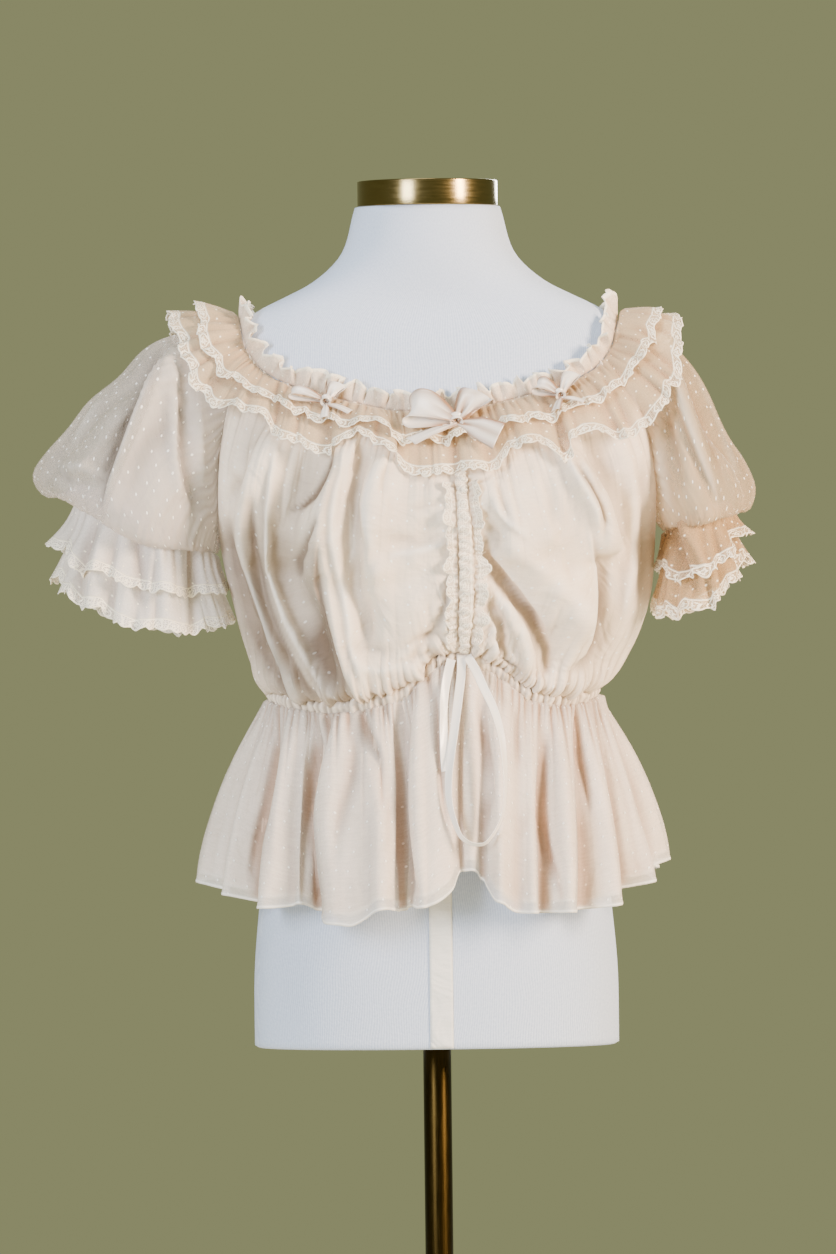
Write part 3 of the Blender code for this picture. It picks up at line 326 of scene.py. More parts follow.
def lace_cloth(name, light, deep, opacity, net_opacity):
    """Chiffon that ends in lace; opacities of one face, above the lace and in its net."""
    material, node, shader = new_material(name)
    cloth = node("UVMap", uv_map="Cloth")
    lace = node("UVMap", uv_map="Lace")
    scallops = node("SeparateXYZ", {0: lace}, "X")
    y = node("SeparateXYZ", {0: lace}, "Y")
    uneven = node("TexNoise", {"Vector": cloth, "Scale": 170, "Detail": 2}, **FLAT_NOISE)
    drift = node("Math", {0: uneven, 1: 0.45, 2: scallops}, **TIMES_PLUS)
    share = node("Math", {0: drift}, operation="FRACT")
    x = node("Math", {0: share, 1: SCALLOP, 2: -SCALLOP / 2}, **TIMES_PLUS)
    # the flower: a rosette whose outline waves five times
    low = node("Math", {0: uneven, 1: 5.0, 2: -7.9}, **TIMES_PLUS)
    up = node("Math", {0: y, 1: low}, operation="ADD")
    spot = node("CombineXYZ", {0: x, 1: up})
    far = node("VectorMath", {0: spot}, "Value", operation="LENGTH")
    turn = node("Math", {0: up, 1: x}, operation="ARCTAN2")
    five = node("Math", {0: turn, 1: 5.0}, operation="MULTIPLY")
    wave = node("Math", {0: five}, operation="COSINE")
    petal = node("Math", {0: wave, 1: -0.7, 2: far}, **TIMES_PLUS)
    flower = node("MapRange", {0: petal, 1: 2.7, 2: 2.1, 3: 0.0, 4: 1.0})
    heart = node("MapRange", {0: far, 1: 0.5, 2: 0.9, 3: 0.35, 4: 1.0})
    motif = node("Math", {0: flower, 1: heart}, operation="MULTIPLY")
    # the arch round it, the cord above, and the scallop's own corded edge
    ring = node("Math", {0: far, 1: 4.5, 2: 0.55}, operation="COMPARE")
    cord = node("Math", {0: y, 1: LACE_DEPTH, 2: 0.95}, operation="COMPARE")
    edge = node("Attribute", out="Fac", attribute_name="edge")
    border = node("MapRange", {0: edge, 1: 2.0, 2: 1.3, 3: 0.0, 4: 1.0})
    for line in (ring, cord, border):
        motif = node("Math", {0: motif, 1: line}, operation="MAXIMUM")
    # the net between them
    holes = {"Vector": cloth, "Scale": 1 / (NET_HOLE * MM), "Randomness": 0.35}
    strand = node("TexVoronoi", holes, "Distance", feature="DISTANCE_TO_EDGE", **FLAT_CELLS)
    net = node("MapRange", {0: strand, 1: 0.22, 2: 0.08, 3: net_opacity, 4: 0.9})
    thread = node("Math", {0: motif, 1: net}, operation="MAXIMUM")
    # above the lace comes the chiffon, with its dots
    cells = {"Vector": cloth, "Scale": 1 / (DOTS_APART * MM), "Randomness": 0.5}
    apart = node("TexVoronoi", cells, "Distance", **FLAT_CELLS)
    dot = node("MapRange", {0: apart, 1: 0.085, 2: 0.04, 3: 0.0, 4: 1.0})
    pebble = node("TexNoise", {"Vector": cloth, "Scale": 600, "Detail": 2}, **FLAT_NOISE)
    densest = min(opacity * 1.12, 1)
    haze = node("MapRange", {0: pebble, 1: 0.3, 2: 0.7, 3: opacity * 0.88, 4: densest})
    plain = node("Math", {0: haze, 1: dot}, operation="MAXIMUM")
    in_lace = node("Math", {0: y, 1: LACE_DEPTH}, operation="LESS_THAN")
    cover = node("Mix", {0: in_lace, 2: plain, 3: thread})
    # the colour: cloth with painted shade in its folds, and lace that is always a little whiter
    valley = node("Attribute", out="Fac", attribute_name="valley")
    shade = node("MapRange", {0: valley, 1: 0.0, 2: 1.0, 3: 0.04, 4: 0.75})
    base = node("Mix", {0: shade, 6: light, 7: deep}, **COLOURS)
    white = node("Math", {0: dot, 1: motif}, operation="MAXIMUM")
    whiter = node("Math", {0: in_lace, 1: 0.25}, operation="MULTIPLY")
    bright = node("Math", {0: white, 1: whiter}, operation="MAXIMUM")
    colour = node("Mix", {0: bright, 6: base, 7: "#FFF7E4"}, **COLOURS)
    relief = node("Math", {0: motif, 1: 2.0, 2: pebble}, **TIMES_PLUS)
    bump = node("Bump", {"Height": relief, "Strength": 0.5, "Distance": 0.0005})
    shader(Roughness=0.7, Sheen_Weight=0.25, Specular_IOR_Level=0.3)
    shader(Base_Color=colour, Alpha=cover, Normal=bump)
    return material


RUFFLE = lace_cloth("lace_edged_chiffon", "#E6CCA6", "#A67C5C", 0.46, 0.2)
# the cuffs' two cloths are this lace-edged chiffon in painted light: paler and cool on the left, darker
# and warm on the right
CUFF_COOL_LIGHT = lace_cloth("lace_edged_chiffon_painted_cool_light", "#FCF6F1", "#BDA89B", 0.5, 0.25)
CUFF_WARM_SHADE = lace_cloth("lace_edged_chiffon_painted_warm_shade", "#CCAA7E", "#8C6A49", 0.46, 0.2)
FRILL = lace_cloth("gathered_lace_frill", "#F6E8D6", "#CBAA8E", 0.85, 0.62)
print("materials:", RUFFLE.name, CUFF_COOL_LIGHT.name, CUFF_WARM_SHADE.name, FRILL.name)

# %% [markdown]
# ## From a grid of points to a sheet
# Every ribbon and every cloth piece becomes a mesh the same way: a grid of points, joined by
# quads, with a UV map in metres along the cloth, so that threads and dots have their true size
# everywhere. Numbers that a material needs, such as how deep in a fold a point lies, go on the
# mesh as attributes. A Solidify modifier, applied at once, gives the sheet its thickness. When a
# piece is done, it takes its CAD node's place, and its size when laid flat is printed.
# %% Sheets of cloth


def only(piece):
    """Selects one piece alone, as the operators need."""
    bpy.ops.object.select_all(action="DESELECT")
    piece.select_set(True)
    bpy.context.view_layer.objects.active = piece


def spread_uv(mesh, name, values, closed_width=None):
    """Writes a UV map from values at the points; a closed sheet's last quads run on past it."""
    corner = np.empty(len(mesh.loops), int)
    mesh.loops.foreach_get("vertex_index", corner)
    uv = values[corner]
    if closed_width is not None:
        quads = uv.reshape(-1, 4, 2)
        far = quads[:, :, 0].max(1, keepdims=True) - quads[:, :, 0] > closed_width / 2
        quads[:, :, 0] += np.where(far, closed_width, 0)
        uv = quads.reshape(-1, 2)
    mesh.uv_layers.new(name=name).data.foreach_set("uv", uv.astype(np.float32).ravel())


def set_field(mesh, name, values):
    """Writes a number at every point, for a material to read by its name."""
    layer = mesh.attributes.new(name, "FLOAT", "POINT")
    layer.data.foreach_set("value", values.astype(np.float32).ravel())


def sheet_piece(name, points, uv, material, slot, closed, thickness, lace=None, **fields):
    """A piece of cloth from a grid of points, rows downwards and columns to the right.

    The UV maps are pairs: how far across the cloth and how far down it each point lies.
    """
    rows, columns, _ = points.shape
    index = np.arange(rows * columns).reshape(rows, columns)
    if closed:
        index = np.hstack([index, index[:, :1]])
    a, b, c, d = index[:-1, :-1], index[1:, :-1], index[1:, 1:], index[:-1, 1:]
    quads = np.stack([a, b, c, d], -1).reshape(-1, 4)
    mesh = bpy.data.meshes.new(name)
    mesh.from_pydata(points.reshape(-1, 3).tolist(), [], quads.tolist())
    for layer, pair, past in (("Cloth", uv, 1.001), ("Lace", lace, 1)):
        if pair is not None:
            pair = np.stack(np.broadcast_arrays(*pair), -1)
            spread_uv(mesh, layer, pair.reshape(-1, 2), pair[..., 0].max() * past if closed else None)
    for field, values in fields.items():
        set_field(mesh, field, np.broadcast_to(values, (rows, columns)))
    mesh.materials.append(material)
    mesh.shade_smooth()
    piece = bpy.data.objects.new(name, mesh)
    bpy.context.scene.collection.objects.link(piece)
    if thickness:
        shell = piece.modifiers.new("thickness", "SOLIDIFY")
        shell.thickness = thickness
        shell.offset = -1
        only(piece)
        bpy.ops.object.modifier_apply(modifier=shell.name)
    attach(piece, "root")
    return piece


def sewn(piece, node_name, flat):
    """Puts a piece in its CAD node's place, and prints its area and its flat size."""
    if node_name:
        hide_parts(node_name)
    area = sum(face.area for face in piece.data.polygons) / 2  # a shell counts both its sides
    print(piece.name, "area", round(area, 5), "flat", round(flat[0] * flat[1], 5))


print("sheet helpers are ready")

# %% [markdown]
# ## The drawstring
# A satin ribbon 8 mm wide gathers the centre front. Its loop comes out of the foot of the ruched
# channel, hangs down in front of the peplum and goes back in, and a short end hangs beside it. It
# is a flat strip swept along a smooth route; near its bottom the loop turns on its edge. Each
# point of the strip is moved back at the edges, which cups the ribbon; the bows' ribbons below are
# also moved back in waves, which pleats them.
# %% Drawstring
RIBBON_WIDTH = 8 * MM
RIBBON_STEPS, RIBBON_COLUMNS = 110, 13
LOOP_ROUTE = (
    (25.5, -109.1, 877.6), (25, -113, 862), (23, -119, 846), (19.5, -129, 820), (15.8, -138, 794),
    (13, -146, 769), (13.5, -150, 750), (18, -153, 732), (25, -155, 717.5), (34.5, -156, 712.5),
    (43.5, -156, 713), (50, -157, 720), (58, -157, 735), (61.5, -156, 757), (61.5, -152, 782),
    (59, -146, 807), (53, -136, 830), (44, -125, 850), (37, -116, 866), (30.5, -111, 877.2),
)
LOOP_TWIST = (0, 8, 20, 30, 42, 58, 70, 74, 66, 48, 30, 14, 0)  # degrees, along the loop
END_ROUTE = (
    (16.3, -110.9, 874.5), (13, -113, 862), (9.5, -119.5, 842), (8.5, -128, 820), (9, -134, 800),
    (10.5, -139, 776),
)
END_TWIST = (0, -15, -35, -20, 10)


def ribbon_strip(name, path, across, widths, thickness=0.5 * MM, cup=0.0, pleat=0.0, fold=0.0, rim=0.0):
    """A ribbon along a path; fold paints shade all over it, and rim paints shade along its edges."""
    across = unit(np.broadcast_to(across, path.shape))
    facing = unit(np.cross(np.gradient(path, axis=0), across))
    share = np.linspace(-1, 1, RIBBON_COLUMNS)
    half = np.broadcast_to(widths, (len(path),))[:, None, None] / 2
    points = path[:, None] + across[:, None] * half * share[None, :, None]
    wave = np.cos(7 * share)
    bend = np.asarray(cup)[..., None] * share**2 + np.asarray(pleat)[..., None] * wave
    points = points - facing[:, None] * np.broadcast_to(bend, points.shape[:2])[..., None]
    uv = (half[..., 0] * share, walked(path)[:, None])
    # painted shade: fold all over, a little deeper in the pleats' waves, and rim towards the edges,
    # more on one side
    fold = np.asarray(fold)[..., None] * (0.65 + 0.35 * wave) + rim * np.abs(share + 0.15) ** 3
    fold = np.clip(np.broadcast_to(fold, points.shape[:2]), 0, 1)
    return sheet_piece(name, points, uv, SATIN, "satin_ribbon", False, thickness, fold=fold)


def hung_ribbon(name, route, node_name, twist):
    """A ribbon that hangs along a route in millimetres, and turns about its length on the way."""
    path = flowing(np.array(route) * MM, RIBBON_STEPS)
    along = np.gradient(path, axis=0)
    across = unit(np.cross(along, (0, -1, 0)))
    facing = np.cross(unit(along), across)
    places = np.linspace(0, 1, RIBBON_STEPS)
    turn = np.radians(np.interp(places, np.linspace(0, 1, len(twist)), twist))[:, None]
    across = across * np.cos(turn) + facing * np.sin(turn)
    piece = ribbon_strip(name, path, across, RIBBON_WIDTH, cup=0.5 * MM)
    length = walked(path)[-1]
    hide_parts(node_name)
    print(name, "is", round(length, 3), "m long")


hung_ribbon("drawstring_loop", LOOP_ROUTE, "drawstring", LOOP_TWIST)
hung_ribbon("drawstring_short_end", END_ROUTE, "drawstring_end", END_TWIST)

# %% [markdown]
# ## Reading a cloth wall from the CAD model
# In the CAD model each cloth piece is a closed wall, a millimetre or two thick: a grid of outer
# points, a grid of inner ones, and narrow faces round the rim. A finished garment needs far finer
# cloth on the same form. So the outer grid is read back from the CAD mesh, row by row, and every
# piece is then drawn as a dense smooth sheet through it. The rim's faces are the ones with an edge
# as short as the wall is thick; without them the mesh falls apart into its outer and inner face.
# %% Cloth walls as grids


def neighbours(vert):
    return [edge.other_vert(vert) for edge in vert.link_edges]


def on_rim(vert):
    """The verts beside this one along the sheet's edge."""
    return [edge.other_vert(vert) for edge in vert.link_edges if len(edge.link_faces) == 1]


def islands(pool, beside):
    """A pool of faces or verts as sets, each of which hangs together."""
    found = []
    while pool:
        island, waiting = set(), [pool.pop()]
        while waiting:
            item = waiting.pop()
            island.add(item)
            for other in beside(item):
                if other in pool:
                    pool.discard(other)
                    waiting.append(other)
        found.append(island)
    return found


def chained(verts):
    """The verts of one row in order. An open row starts at one of its ends."""
    inside = set(verts)
    beside = {v: [n for n in neighbours(v) if n in inside] for v in inside}
    ends = [v for v in inside if len(beside[v]) == 1]
    row = [min(ends or inside, key=lambda v: v.index)]
    while True:
        ahead = [n for n in beside[row[-1]] if n not in row[-2:] and n is not row[0]]
        if not ahead or len(row) == len(inside):
            return row
        row.append(ahead[0])


def face_grid(node_name, rows, columns, closed, wall, towards=(0, 0, 2), heart=(0, 0)):
    """The outer face of a CAD wall as a grid of points; its first row is the one towards a point."""
    mesh = bmesh.new()
    mesh.from_mesh(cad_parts[node_name].data)
    bmesh.ops.remove_doubles(mesh, verts=mesh.verts, dist=1e-5)
    rim = {f for e in mesh.edges if e.calc_length() < 1.06 * wall for f in e.link_faces}
    bmesh.ops.delete(mesh, geom=list(rim), context="FACES")
    mesh.verts.index_update()
    heart = np.array([*heart, 0.0])

    def facing(island):
        """How far an island's faces look away from the garment's heart."""
        levels = [(np.array(face.calc_center_median()) - heart) * (1, 1, 0) for face in island]
        return sum(f.calc_area() * np.dot(f.normal, level) for f, level in zip(island, levels))

    def away(side):
        return np.linalg.norm(np.mean([v.co for v in side], 0) - np.array(towards))

    sheets = islands(set(mesh.faces), lambda face: (f for e in face.edges for f in e.link_faces))
    outer = {v for face in max(sheets, key=facing) for v in face.verts}
    rim_verts = {v for v in outer if on_rim(v)}
    # the rim falls apart at the corners of an open sheet, and each side takes its corners back
    corners = set() if closed else {v for v in rim_verts if len(v.link_edges) <= 3}
    sides = islands(rim_verts - corners, on_rim)
    sides = [side | {v for v in corners if side & set(on_rim(v))} for side in sides]
    levels = [chained(min((side for side in sides if len(side) == columns), key=away))]
    seen = set(levels[0])
    while len(levels) < rows:
        below = {n for v in levels[-1] for n in neighbours(v)} - seen
        seen |= below
        levels.append(chained(below))
    grid = [np.array([v.co for v in levels[0]])]
    if closed:
        grid[0] = np.roll(grid[0], -int(np.argmax(grid[0][:, 1])), 0)
    for level in levels[1:]:
        line = np.array([v.co for v in level])
        tries = [line, line[::-1]]
        if closed:
            tries = [np.roll(way, shift, 0) for way in tries for shift in range(columns)]
        grid.append(min(tries, key=lambda way: np.linalg.norm(way - grid[-1], axis=1).sum()))
    mesh.free()
    grid = np.array(grid)
    assert grid.shape == (rows, columns, 3), (node_name, grid.shape)
    out = facing_out(grid, closed)
    if (out[..., :2] * (grid[..., :2] - heart[:2])).sum() < 0:
        grid = grid[:, ::-1]
        grid = np.roll(grid, 1, 1) if closed else grid
    return grid


def facing_out(grid, closed):
    """Unit normals of a grid."""
    if closed:
        along = np.roll(grid, -1, 1) - np.roll(grid, 1, 1)
    else:
        along = np.gradient(grid, axis=1)
    return unit(np.cross(np.gradient(grid, axis=0), along))


def dense(grid, rows, columns, closed):
    """The smooth surface through a grid; rows is a count, or each row's share of the way down."""
    count = grid.shape[1]
    shares = np.linspace(0, 1, rows) if isinstance(rows, int) else np.asarray(rows)
    if closed:
        place = np.arange(columns) * count / columns
        padded = np.concatenate([grid[:, -3:], grid, grid[:, :4]], 1)
        knots = np.arange(-3, count + 4)
    else:
        place = np.linspace(0, count - 1, columns)
        padded, knots = grid, np.arange(count)
    wide = through(padded.swapaxes(0, 1), knots, place).swapaxes(0, 1)
    if len(grid) == 2:
        return wide[0] * (1 - shares[:, None, None]) + wide[1] * shares[:, None, None]
    knots = np.append(0, np.linalg.norm(np.diff(wide, axis=0), axis=2).mean(1).cumsum())
    return through(wide, knots, shares * knots[-1])


def run_down(points):
    """How far down the cloth each point of a grid lies from its first row."""
    steps = np.linalg.norm(np.diff(points, axis=0), axis=2)
    return np.vstack([np.zeros(points.shape[1]), steps.cumsum(0)])


def run_across(points, closed):
    """How far across the cloth each column lies, by the widest row."""
    ring = np.concatenate([points, points[:, :1]], 1) if closed else points
    steps = np.linalg.norm(np.diff(ring, axis=1), axis=2)
    return np.append(0, steps[np.argmax(steps.sum(1))].cumsum())


def laid_round(points):
    """For a closed sheet: how far down and across each point lies, and its share of the way round."""
    down, across = run_down(points), run_across(points, True)
    wide = np.broadcast_to(across[None, :-1], down.shape)
    return down, wide, wide / across[-1]


print("the CAD walls can be read as grids")

# %% [markdown]
# ## Gathers and folds
# Gathers are what makes this blouse. Where cloth is drawn up on a thread, it buckles into ridges a
# few millimetres apart, each with its own height, and each dies out at its own distance from the
# seam. A seeded random generator sizes them, so that they are uneven and yet always the same.
#
# Larger creases are placed as lines with a height and two widths. A narrow side makes a
# sharp edge, and the ridge leans a little over it, because real cloth tucks under itself there.
# Soft light alone shows such folds too weakly, as light that has passed through cloth fills them.
# So the mesh also carries painted shade: how far each point lies below the cloth around it, and
# lines of painted shadow along the grooves and at the foot of each sharp side, with a painted
# highlight, a paler line, on each crest.
# %% Gather and crease helpers


def gathers(across, away, pitch, height, fade, seed, total=None):
    """Ridges a pitch apart across the cloth that die out away from the sewn edge, in metres."""
    chance = np.random.default_rng(seed)
    span = total or float(across.max()) + pitch
    edges = np.append(0, chance.uniform(0.55, 1.45, max(int(round(span / pitch)), 2)).cumsum())
    edges *= span / edges[-1]
    ridge = np.interp(across, edges, np.arange(len(edges)))
    which = np.minimum(ridge.astype(int), len(edges) - 2)
    size = chance.uniform(0.35, 1.0, len(edges))[which]
    reach = fade * chance.uniform(0.45, 1.55, len(edges))[which]
    bulge = np.sin(math.pi * (ridge - which)) * size - 0.3
    return height * bulge * np.exp(-((np.maximum(away, 0) / reach) ** 1.2))


def ripples(share, pitch, height, seed):
    """Gathers all round a closed sheet that don't die out; the pitch is a share of the way round."""
    return gathers(share, 0 * share, pitch, height, 1.0, seed, 1.0)


def hand_placed(*rows):
    """Creases, in millimetres. A row has a height, a width on the left and one on the right of the
    crease's downward line, and then the line: x and z of each of its points."""
    return [(*row[:3], list(zip(row[3::2], row[4::2]))) for row in rows]


def creased(x, z, creases):
    """How far creases lift the cloth, seen from the front. Each dies out towards both its ends."""
    lift = np.zeros(np.shape(x))
    for height, left, right, line in creases:
        nearest, side, along = np.full(np.shape(x), 1e9), lift * 0, lift * 0
        for count, ((x0, z0), (x1, z1)) in enumerate(zip(line, line[1:])):
            dx, dz = (x1 - x0) * MM, (z1 - z0) * MM
            px, pz = x - x0 * MM, z - z0 * MM
            t = np.clip((px * dx + pz * dz) / (dx * dx + dz * dz), 0, 1)
            far = np.hypot(px - t * dx, pz - t * dz)
            side = np.where(far < nearest, dx * pz - dz * px, side)
            along = np.where(far < nearest, (count + t) / (len(line) - 1), along)
            nearest = np.minimum(nearest, far)
        width = np.where(side > 0, right, left) * MM
        ends = np.sin(math.pi * np.clip(along, 0.001, 0.999)) ** 0.5
        lift += height * MM * ends * np.exp(-((nearest / width) ** 2))
    return lift


def leaning(x, z, creases):
    """How far each ridge leans to the right over its sharper side, which tucks cloth under it."""
    lean = np.zeros(np.shape(x))
    for height, left, right, line in creases:
        if height > 0:
            lean += creased(x, z, [(0.35 * height, left, right, line)]) * np.sign(left - right)
    return lean


def crests(x, z, creases):
    """1 along the middle of each ridge, where a painted highlight goes."""
    lines = [(1000, 2.0, 3.6, line) for height, _, _, line in creases if height > 0]
    return np.clip(creased(x, z, lines), 0, 1)


def shadows(x, z, creases):
    """Painted shadow: up to 1 along each groove, and at the foot of each ridge's sharper side."""
    lines = []
    for height, left, right, line in creases:
        dark = 1000 * min(abs(height) / 12, 1)
        if height < 0:
            lines.append((dark, 0.75 * left, 0.75 * right, line))
        elif left < right:
            lines.append((0.7 * dark, 5, 1.5, [(x - 1.2 * left, z) for x, z in line]))
        elif right < left:
            lines.append((0.7 * dark, 1.5, 5, [(x + 1.2 * right, z) for x, z in line]))
    return creased(x, z, lines)


def smoothed(values, closed, wide):
    """The mean over wide columns to either side."""
    if closed:
        padded = np.concatenate([values[:, -wide:], values, values[:, :wide]], 1)
    else:
        padded = np.concatenate([values[:, :1]] * wide + [values] + [values[:, -1:]] * wide, 1)
    total = np.concatenate([0 * padded[:, :1], padded.cumsum(1)], 1)
    return (total[:, 2 * wide + 1 :] - total[:, : -2 * wide - 1]) / (2 * wide + 1)


def deepened(points, closed, wide, gain):
    """Deeper folds: each point moves on, away from the mean of the columns around it."""
    out = facing_out(smoothed(points, closed, 2), closed)
    lift = ((points - smoothed(points, closed, wide)) * out).sum(-1)
    return points + out * (gain * lift)[..., None]


def valleys(points, closed, *scales):
    """0 on open cloth, 1 in a deep fold. A scale is columns of reach, and the depth that counts 1."""
    found = []
    for reach, full in scales:
        mean = smoothed(points, closed, reach)
        below = ((mean - points) * facing_out(mean, closed)).sum(-1)
        below = smoothed(np.clip(below / full, 0, 1), closed, max(reach // 4, 1))
        found.append(np.clip(below, 0, 1))
    return np.max(found, 0)


print("gathers and creases are ready")

# %% [markdown]
# ## The stand
# The form stands on a round brass plate and a tube, and a polished brass cap closes its neck. On a
# lathe each would be turned from one piece, so each starts as a cylinder and its edges are eased
# with a bevel. The cap also has the shallow recess that a turned cap shows from above.
# %% Base, pole and cap


def turned(node_name, sides, material, ease, recess=0.0):
    """A cylinder in a CAD node's place, with eased edges and, if asked for, a recess on top."""
    low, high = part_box(node_name)
    bpy.ops.object.select_all(action="DESELECT")
    bpy.ops.mesh.primitive_cylinder_add(
        vertices=sides,
        radius=(high.x - low.x) / 2,
        depth=high.z - low.z,
        location=((low.x + high.x) / 2, (low.y + high.y) / 2, (low.z + high.z) / 2),
    )
    piece = bpy.context.object
    piece.name = "turned_" + node_name
    bpy.ops.object.transform_apply(location=True, rotation=True, scale=True)
    if recess:
        bpy.ops.object.mode_set(mode="EDIT")
        mesh = bmesh.from_edit_mesh(piece.data)
        for face in mesh.faces:
            face.select = face.normal.z > 0.9
        mesh.select_flush_mode()
        bmesh.update_edit_mesh(piece.data)
        bpy.ops.mesh.inset(thickness=4 * recess, depth=0)
        bpy.ops.mesh.inset(thickness=recess, depth=-recess)
        bpy.ops.object.mode_set(mode="OBJECT")
    bevel = piece.modifiers.new("eased edges", "BEVEL")
    bevel.width = ease
    bevel.segments = 3
    bevel.limit_method = "ANGLE"
    bpy.ops.object.modifier_apply(modifier=bevel.name)
    bpy.ops.object.shade_smooth_by_angle(angle=math.radians(40))
    piece.data.materials.clear()
    piece.data.materials.append(material)
    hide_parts(node_name)
    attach(piece, "root")
    print(piece.name, "has", len(piece.data.polygons), "faces")


turned("neck_cap", 128, CAP_BRASS, 0.8 * MM, recess=1.2 * MM)
turned("pole", 48, STAND_BRASS, 0.5 * MM)
turned("base_plate", 128, STAND_BRASS, 1.5 * MM)

# %% [markdown]
# ## The dress form
# A firm torso covered with stretched jersey. The CAD form has the right rings, but only 24 points
# round, which would show as facets. Its rings are read back by their height and a smooth skin of
# four times as many points is drawn through them. The skin turns in under the bottom edge with a
# small round, as cloth does that is stapled underneath.
# %% Dress form


def form_rings():
    """The CAD form's rings from the top down, each in order round its axis."""
    points = np.array([v.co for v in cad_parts["dress_form"].data.vertices])
    points = np.unique(np.round(points, 6), axis=0)
    rings = []
    for z in sorted(set(np.round(points[:, 2], 5)), reverse=True):
        ring = points[np.abs(points[:, 2] - z) < 1e-4]
        rings.append(ring[np.argsort(np.arctan2(ring[:, 1], ring[:, 0]))])
    return np.array(rings)


def drawn_in(ring, shares):
    """Smaller copies of a ring, each a share of the way in towards its middle."""
    return [(1 - share) * ring + share * ring.mean(0) for share in shares]


def form_piece():
    skin = dense(form_rings(), 120, 96, True)
    top = drawn_in(skin[0], (0.97, 0.5))
    under = np.array(drawn_in(skin[-1], (0.02, 0.06, 0.5, 0.97)))
    under[..., 2] = skin[-1][0, 2]
    skin[-1][:, 2] += 2 * MM
    points = np.concatenate([np.array(top), skin, under])
    uv = (run_across(skin, True)[:-1], run_down(points))
    return sheet_piece("jersey_form", points, uv, JERSEY, "form_jersey", True, 0)


form = form_piece()
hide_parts("dress_form")
only(form)
bpy.ops.object.mode_set(mode="EDIT")
bpy.ops.mesh.select_mode(type="EDGE")
bpy.ops.mesh.select_all(action="DESELECT")
bpy.ops.mesh.select_non_manifold()
bpy.ops.mesh.edge_face_add()
bpy.ops.object.mode_set(mode="OBJECT")
print("form faces:", len(form.data.polygons))

# %% [markdown]
# ## The form's front tape
# A white cotton tape is sewn down the form's centre front, as a line to pin to. It shows below the
# peplum. It is a strip through points on the form's own skin, moved out by 0.9 mm, so that its
# half millimetre of cotton lies just clear of the jersey.
# %% Front tape
TAPE_X = np.linspace(-0.006, 0.0145, 9)
TAPE_Z = np.linspace(0.80, 0.531, 90)


def form_front(rings, x, z):
    """The form's front surface as a grid: a row for each z, with a point at each x."""
    line = np.empty((len(z), len(x), 3))
    for i, points in enumerate(through(rings[::-1], rings[::-1, 0, 2], z)):
        front = points[points[:, 1] < 0]
        front = front[np.argsort(front[:, 0])]
        y = through(front, front[:, 0], x)[:, 1]
        line[i] = np.stack([x, y, np.full(len(y), points[0, 2])], -1)
    return line


tape = form_front(form_rings(), TAPE_X, TAPE_Z) - (0, 0.9 * MM, 0)
tape_uv = (TAPE_X, -TAPE_Z[:, None])
front_tape = sheet_piece("front_tape", tape, tape_uv, COTTON, "form_jersey", False, 0.5 * MM)
sewn(front_tape, None, (0.0205, 0.27))

# %% [markdown]
# ## The bodice
# Three panels, two fronts and a back, cut like a peasant blouse: wide, gathered on elastic at the
# neckline and at the waist, and drawn up along the centre front by the channel. The CAD panels
# hold the large folds. Here each gets its gathers at all these edges and its lesser creases, which
# the tables give from top to bottom. The tables of painted shade only darken the cloth: there it
# lies under other cloth, or the arm lies close. Each panel also gets painted shade in its folds and
# a painted highlight on each crest. Near the channel the gathers at the waist slant, because the
# drawstring pulls the cloth in and up to it.
# %% Bodice panels
CHANNEL_X = 30 * MM
FINE_LEFT = hand_placed(
    (-5, 4, 3, -163, 1066, -167, 1045, -174, 1027, -180, 1012),
    (-7, 6, 5, -182, 1004, -180, 982, -174, 958, -166, 938, -158, 915, -150, 890, -136, 862,
     -124, 836),
    (4.5, 5, 4, -172, 1005, -171, 975, -165, 950, -158, 925, -150, 900, -139, 875, -124, 850,
     -112, 830),
    (-8.5, 8, 3, -159, 1022, -157, 999, -156, 981, -153, 958, -148, 935, -141, 913, -131, 890,
     -119, 866, -96, 828),
    (8, 3, 6, -136, 1062, -141, 1035, -144, 1008, -145, 980, -144, 958, -139, 938, -130, 910,
     -118, 886, -104, 862, -84, 830),
    (-6, 3, 12, -140, 1002, -138, 981, -139, 964, -134, 943, -126, 922, -114, 899, -100, 875),
    (-5.5, 3, 5, -87, 1060, -90, 1049, -96, 1036, -104, 1023, -114, 1013, -128, 1005),
    (-5, 4, 3, -100, 1001, -107, 991, -113, 979, -120, 963, -120, 948),
    (-9, 20, 3, -101, 978, -99, 956, -96, 938, -93, 911, -89, 884, -82, 860, -66, 832),
    (7.5, 3, 12, -75, 1060, -78, 1040, -84, 1024, -88, 1005, -89, 981, -85, 958, -80, 938,
     -76, 914, -73, 890, -67, 866, -58, 850),
    (-6, 5, 6, -60, 1072, -61, 1054, -66, 1038),
    (2.5, 8, 6, -74, 1015, -73, 990, -70, 960),
    (4.5, 5, 8, -45, 1050, -52, 1032, -56, 1012, -55, 990, -50, 965),
    (-3.5, 4, 6, -36, 1046, -41, 1036, -42, 1020),
    (-3.5, 5, 6, 12, 982, -14, 978, -38, 980),
    (3, 3, 3, 12, 976, -14, 970, -38, 966),
    (-4, 5, 8, -30, 879, -46, 883, -60, 885, -78, 890),
    (4.5, 6, 6, -20, 872, -45, 866, -70, 868),
    (-5, 5, 4, 18, 950, 14, 922, 4, 902, -10, 886, -22, 872),
    (4, 4, 6, 20, 938, 16, 915, 8, 898),
    (-4, 3, 3, 12, 884, -12, 877, -36, 868),
    (-4, 3, 4, 16, 898, -10, 894, -30, 884),
    (-3.5, 4, 4, 18, 1012, -4, 1010, -26, 1006),
)
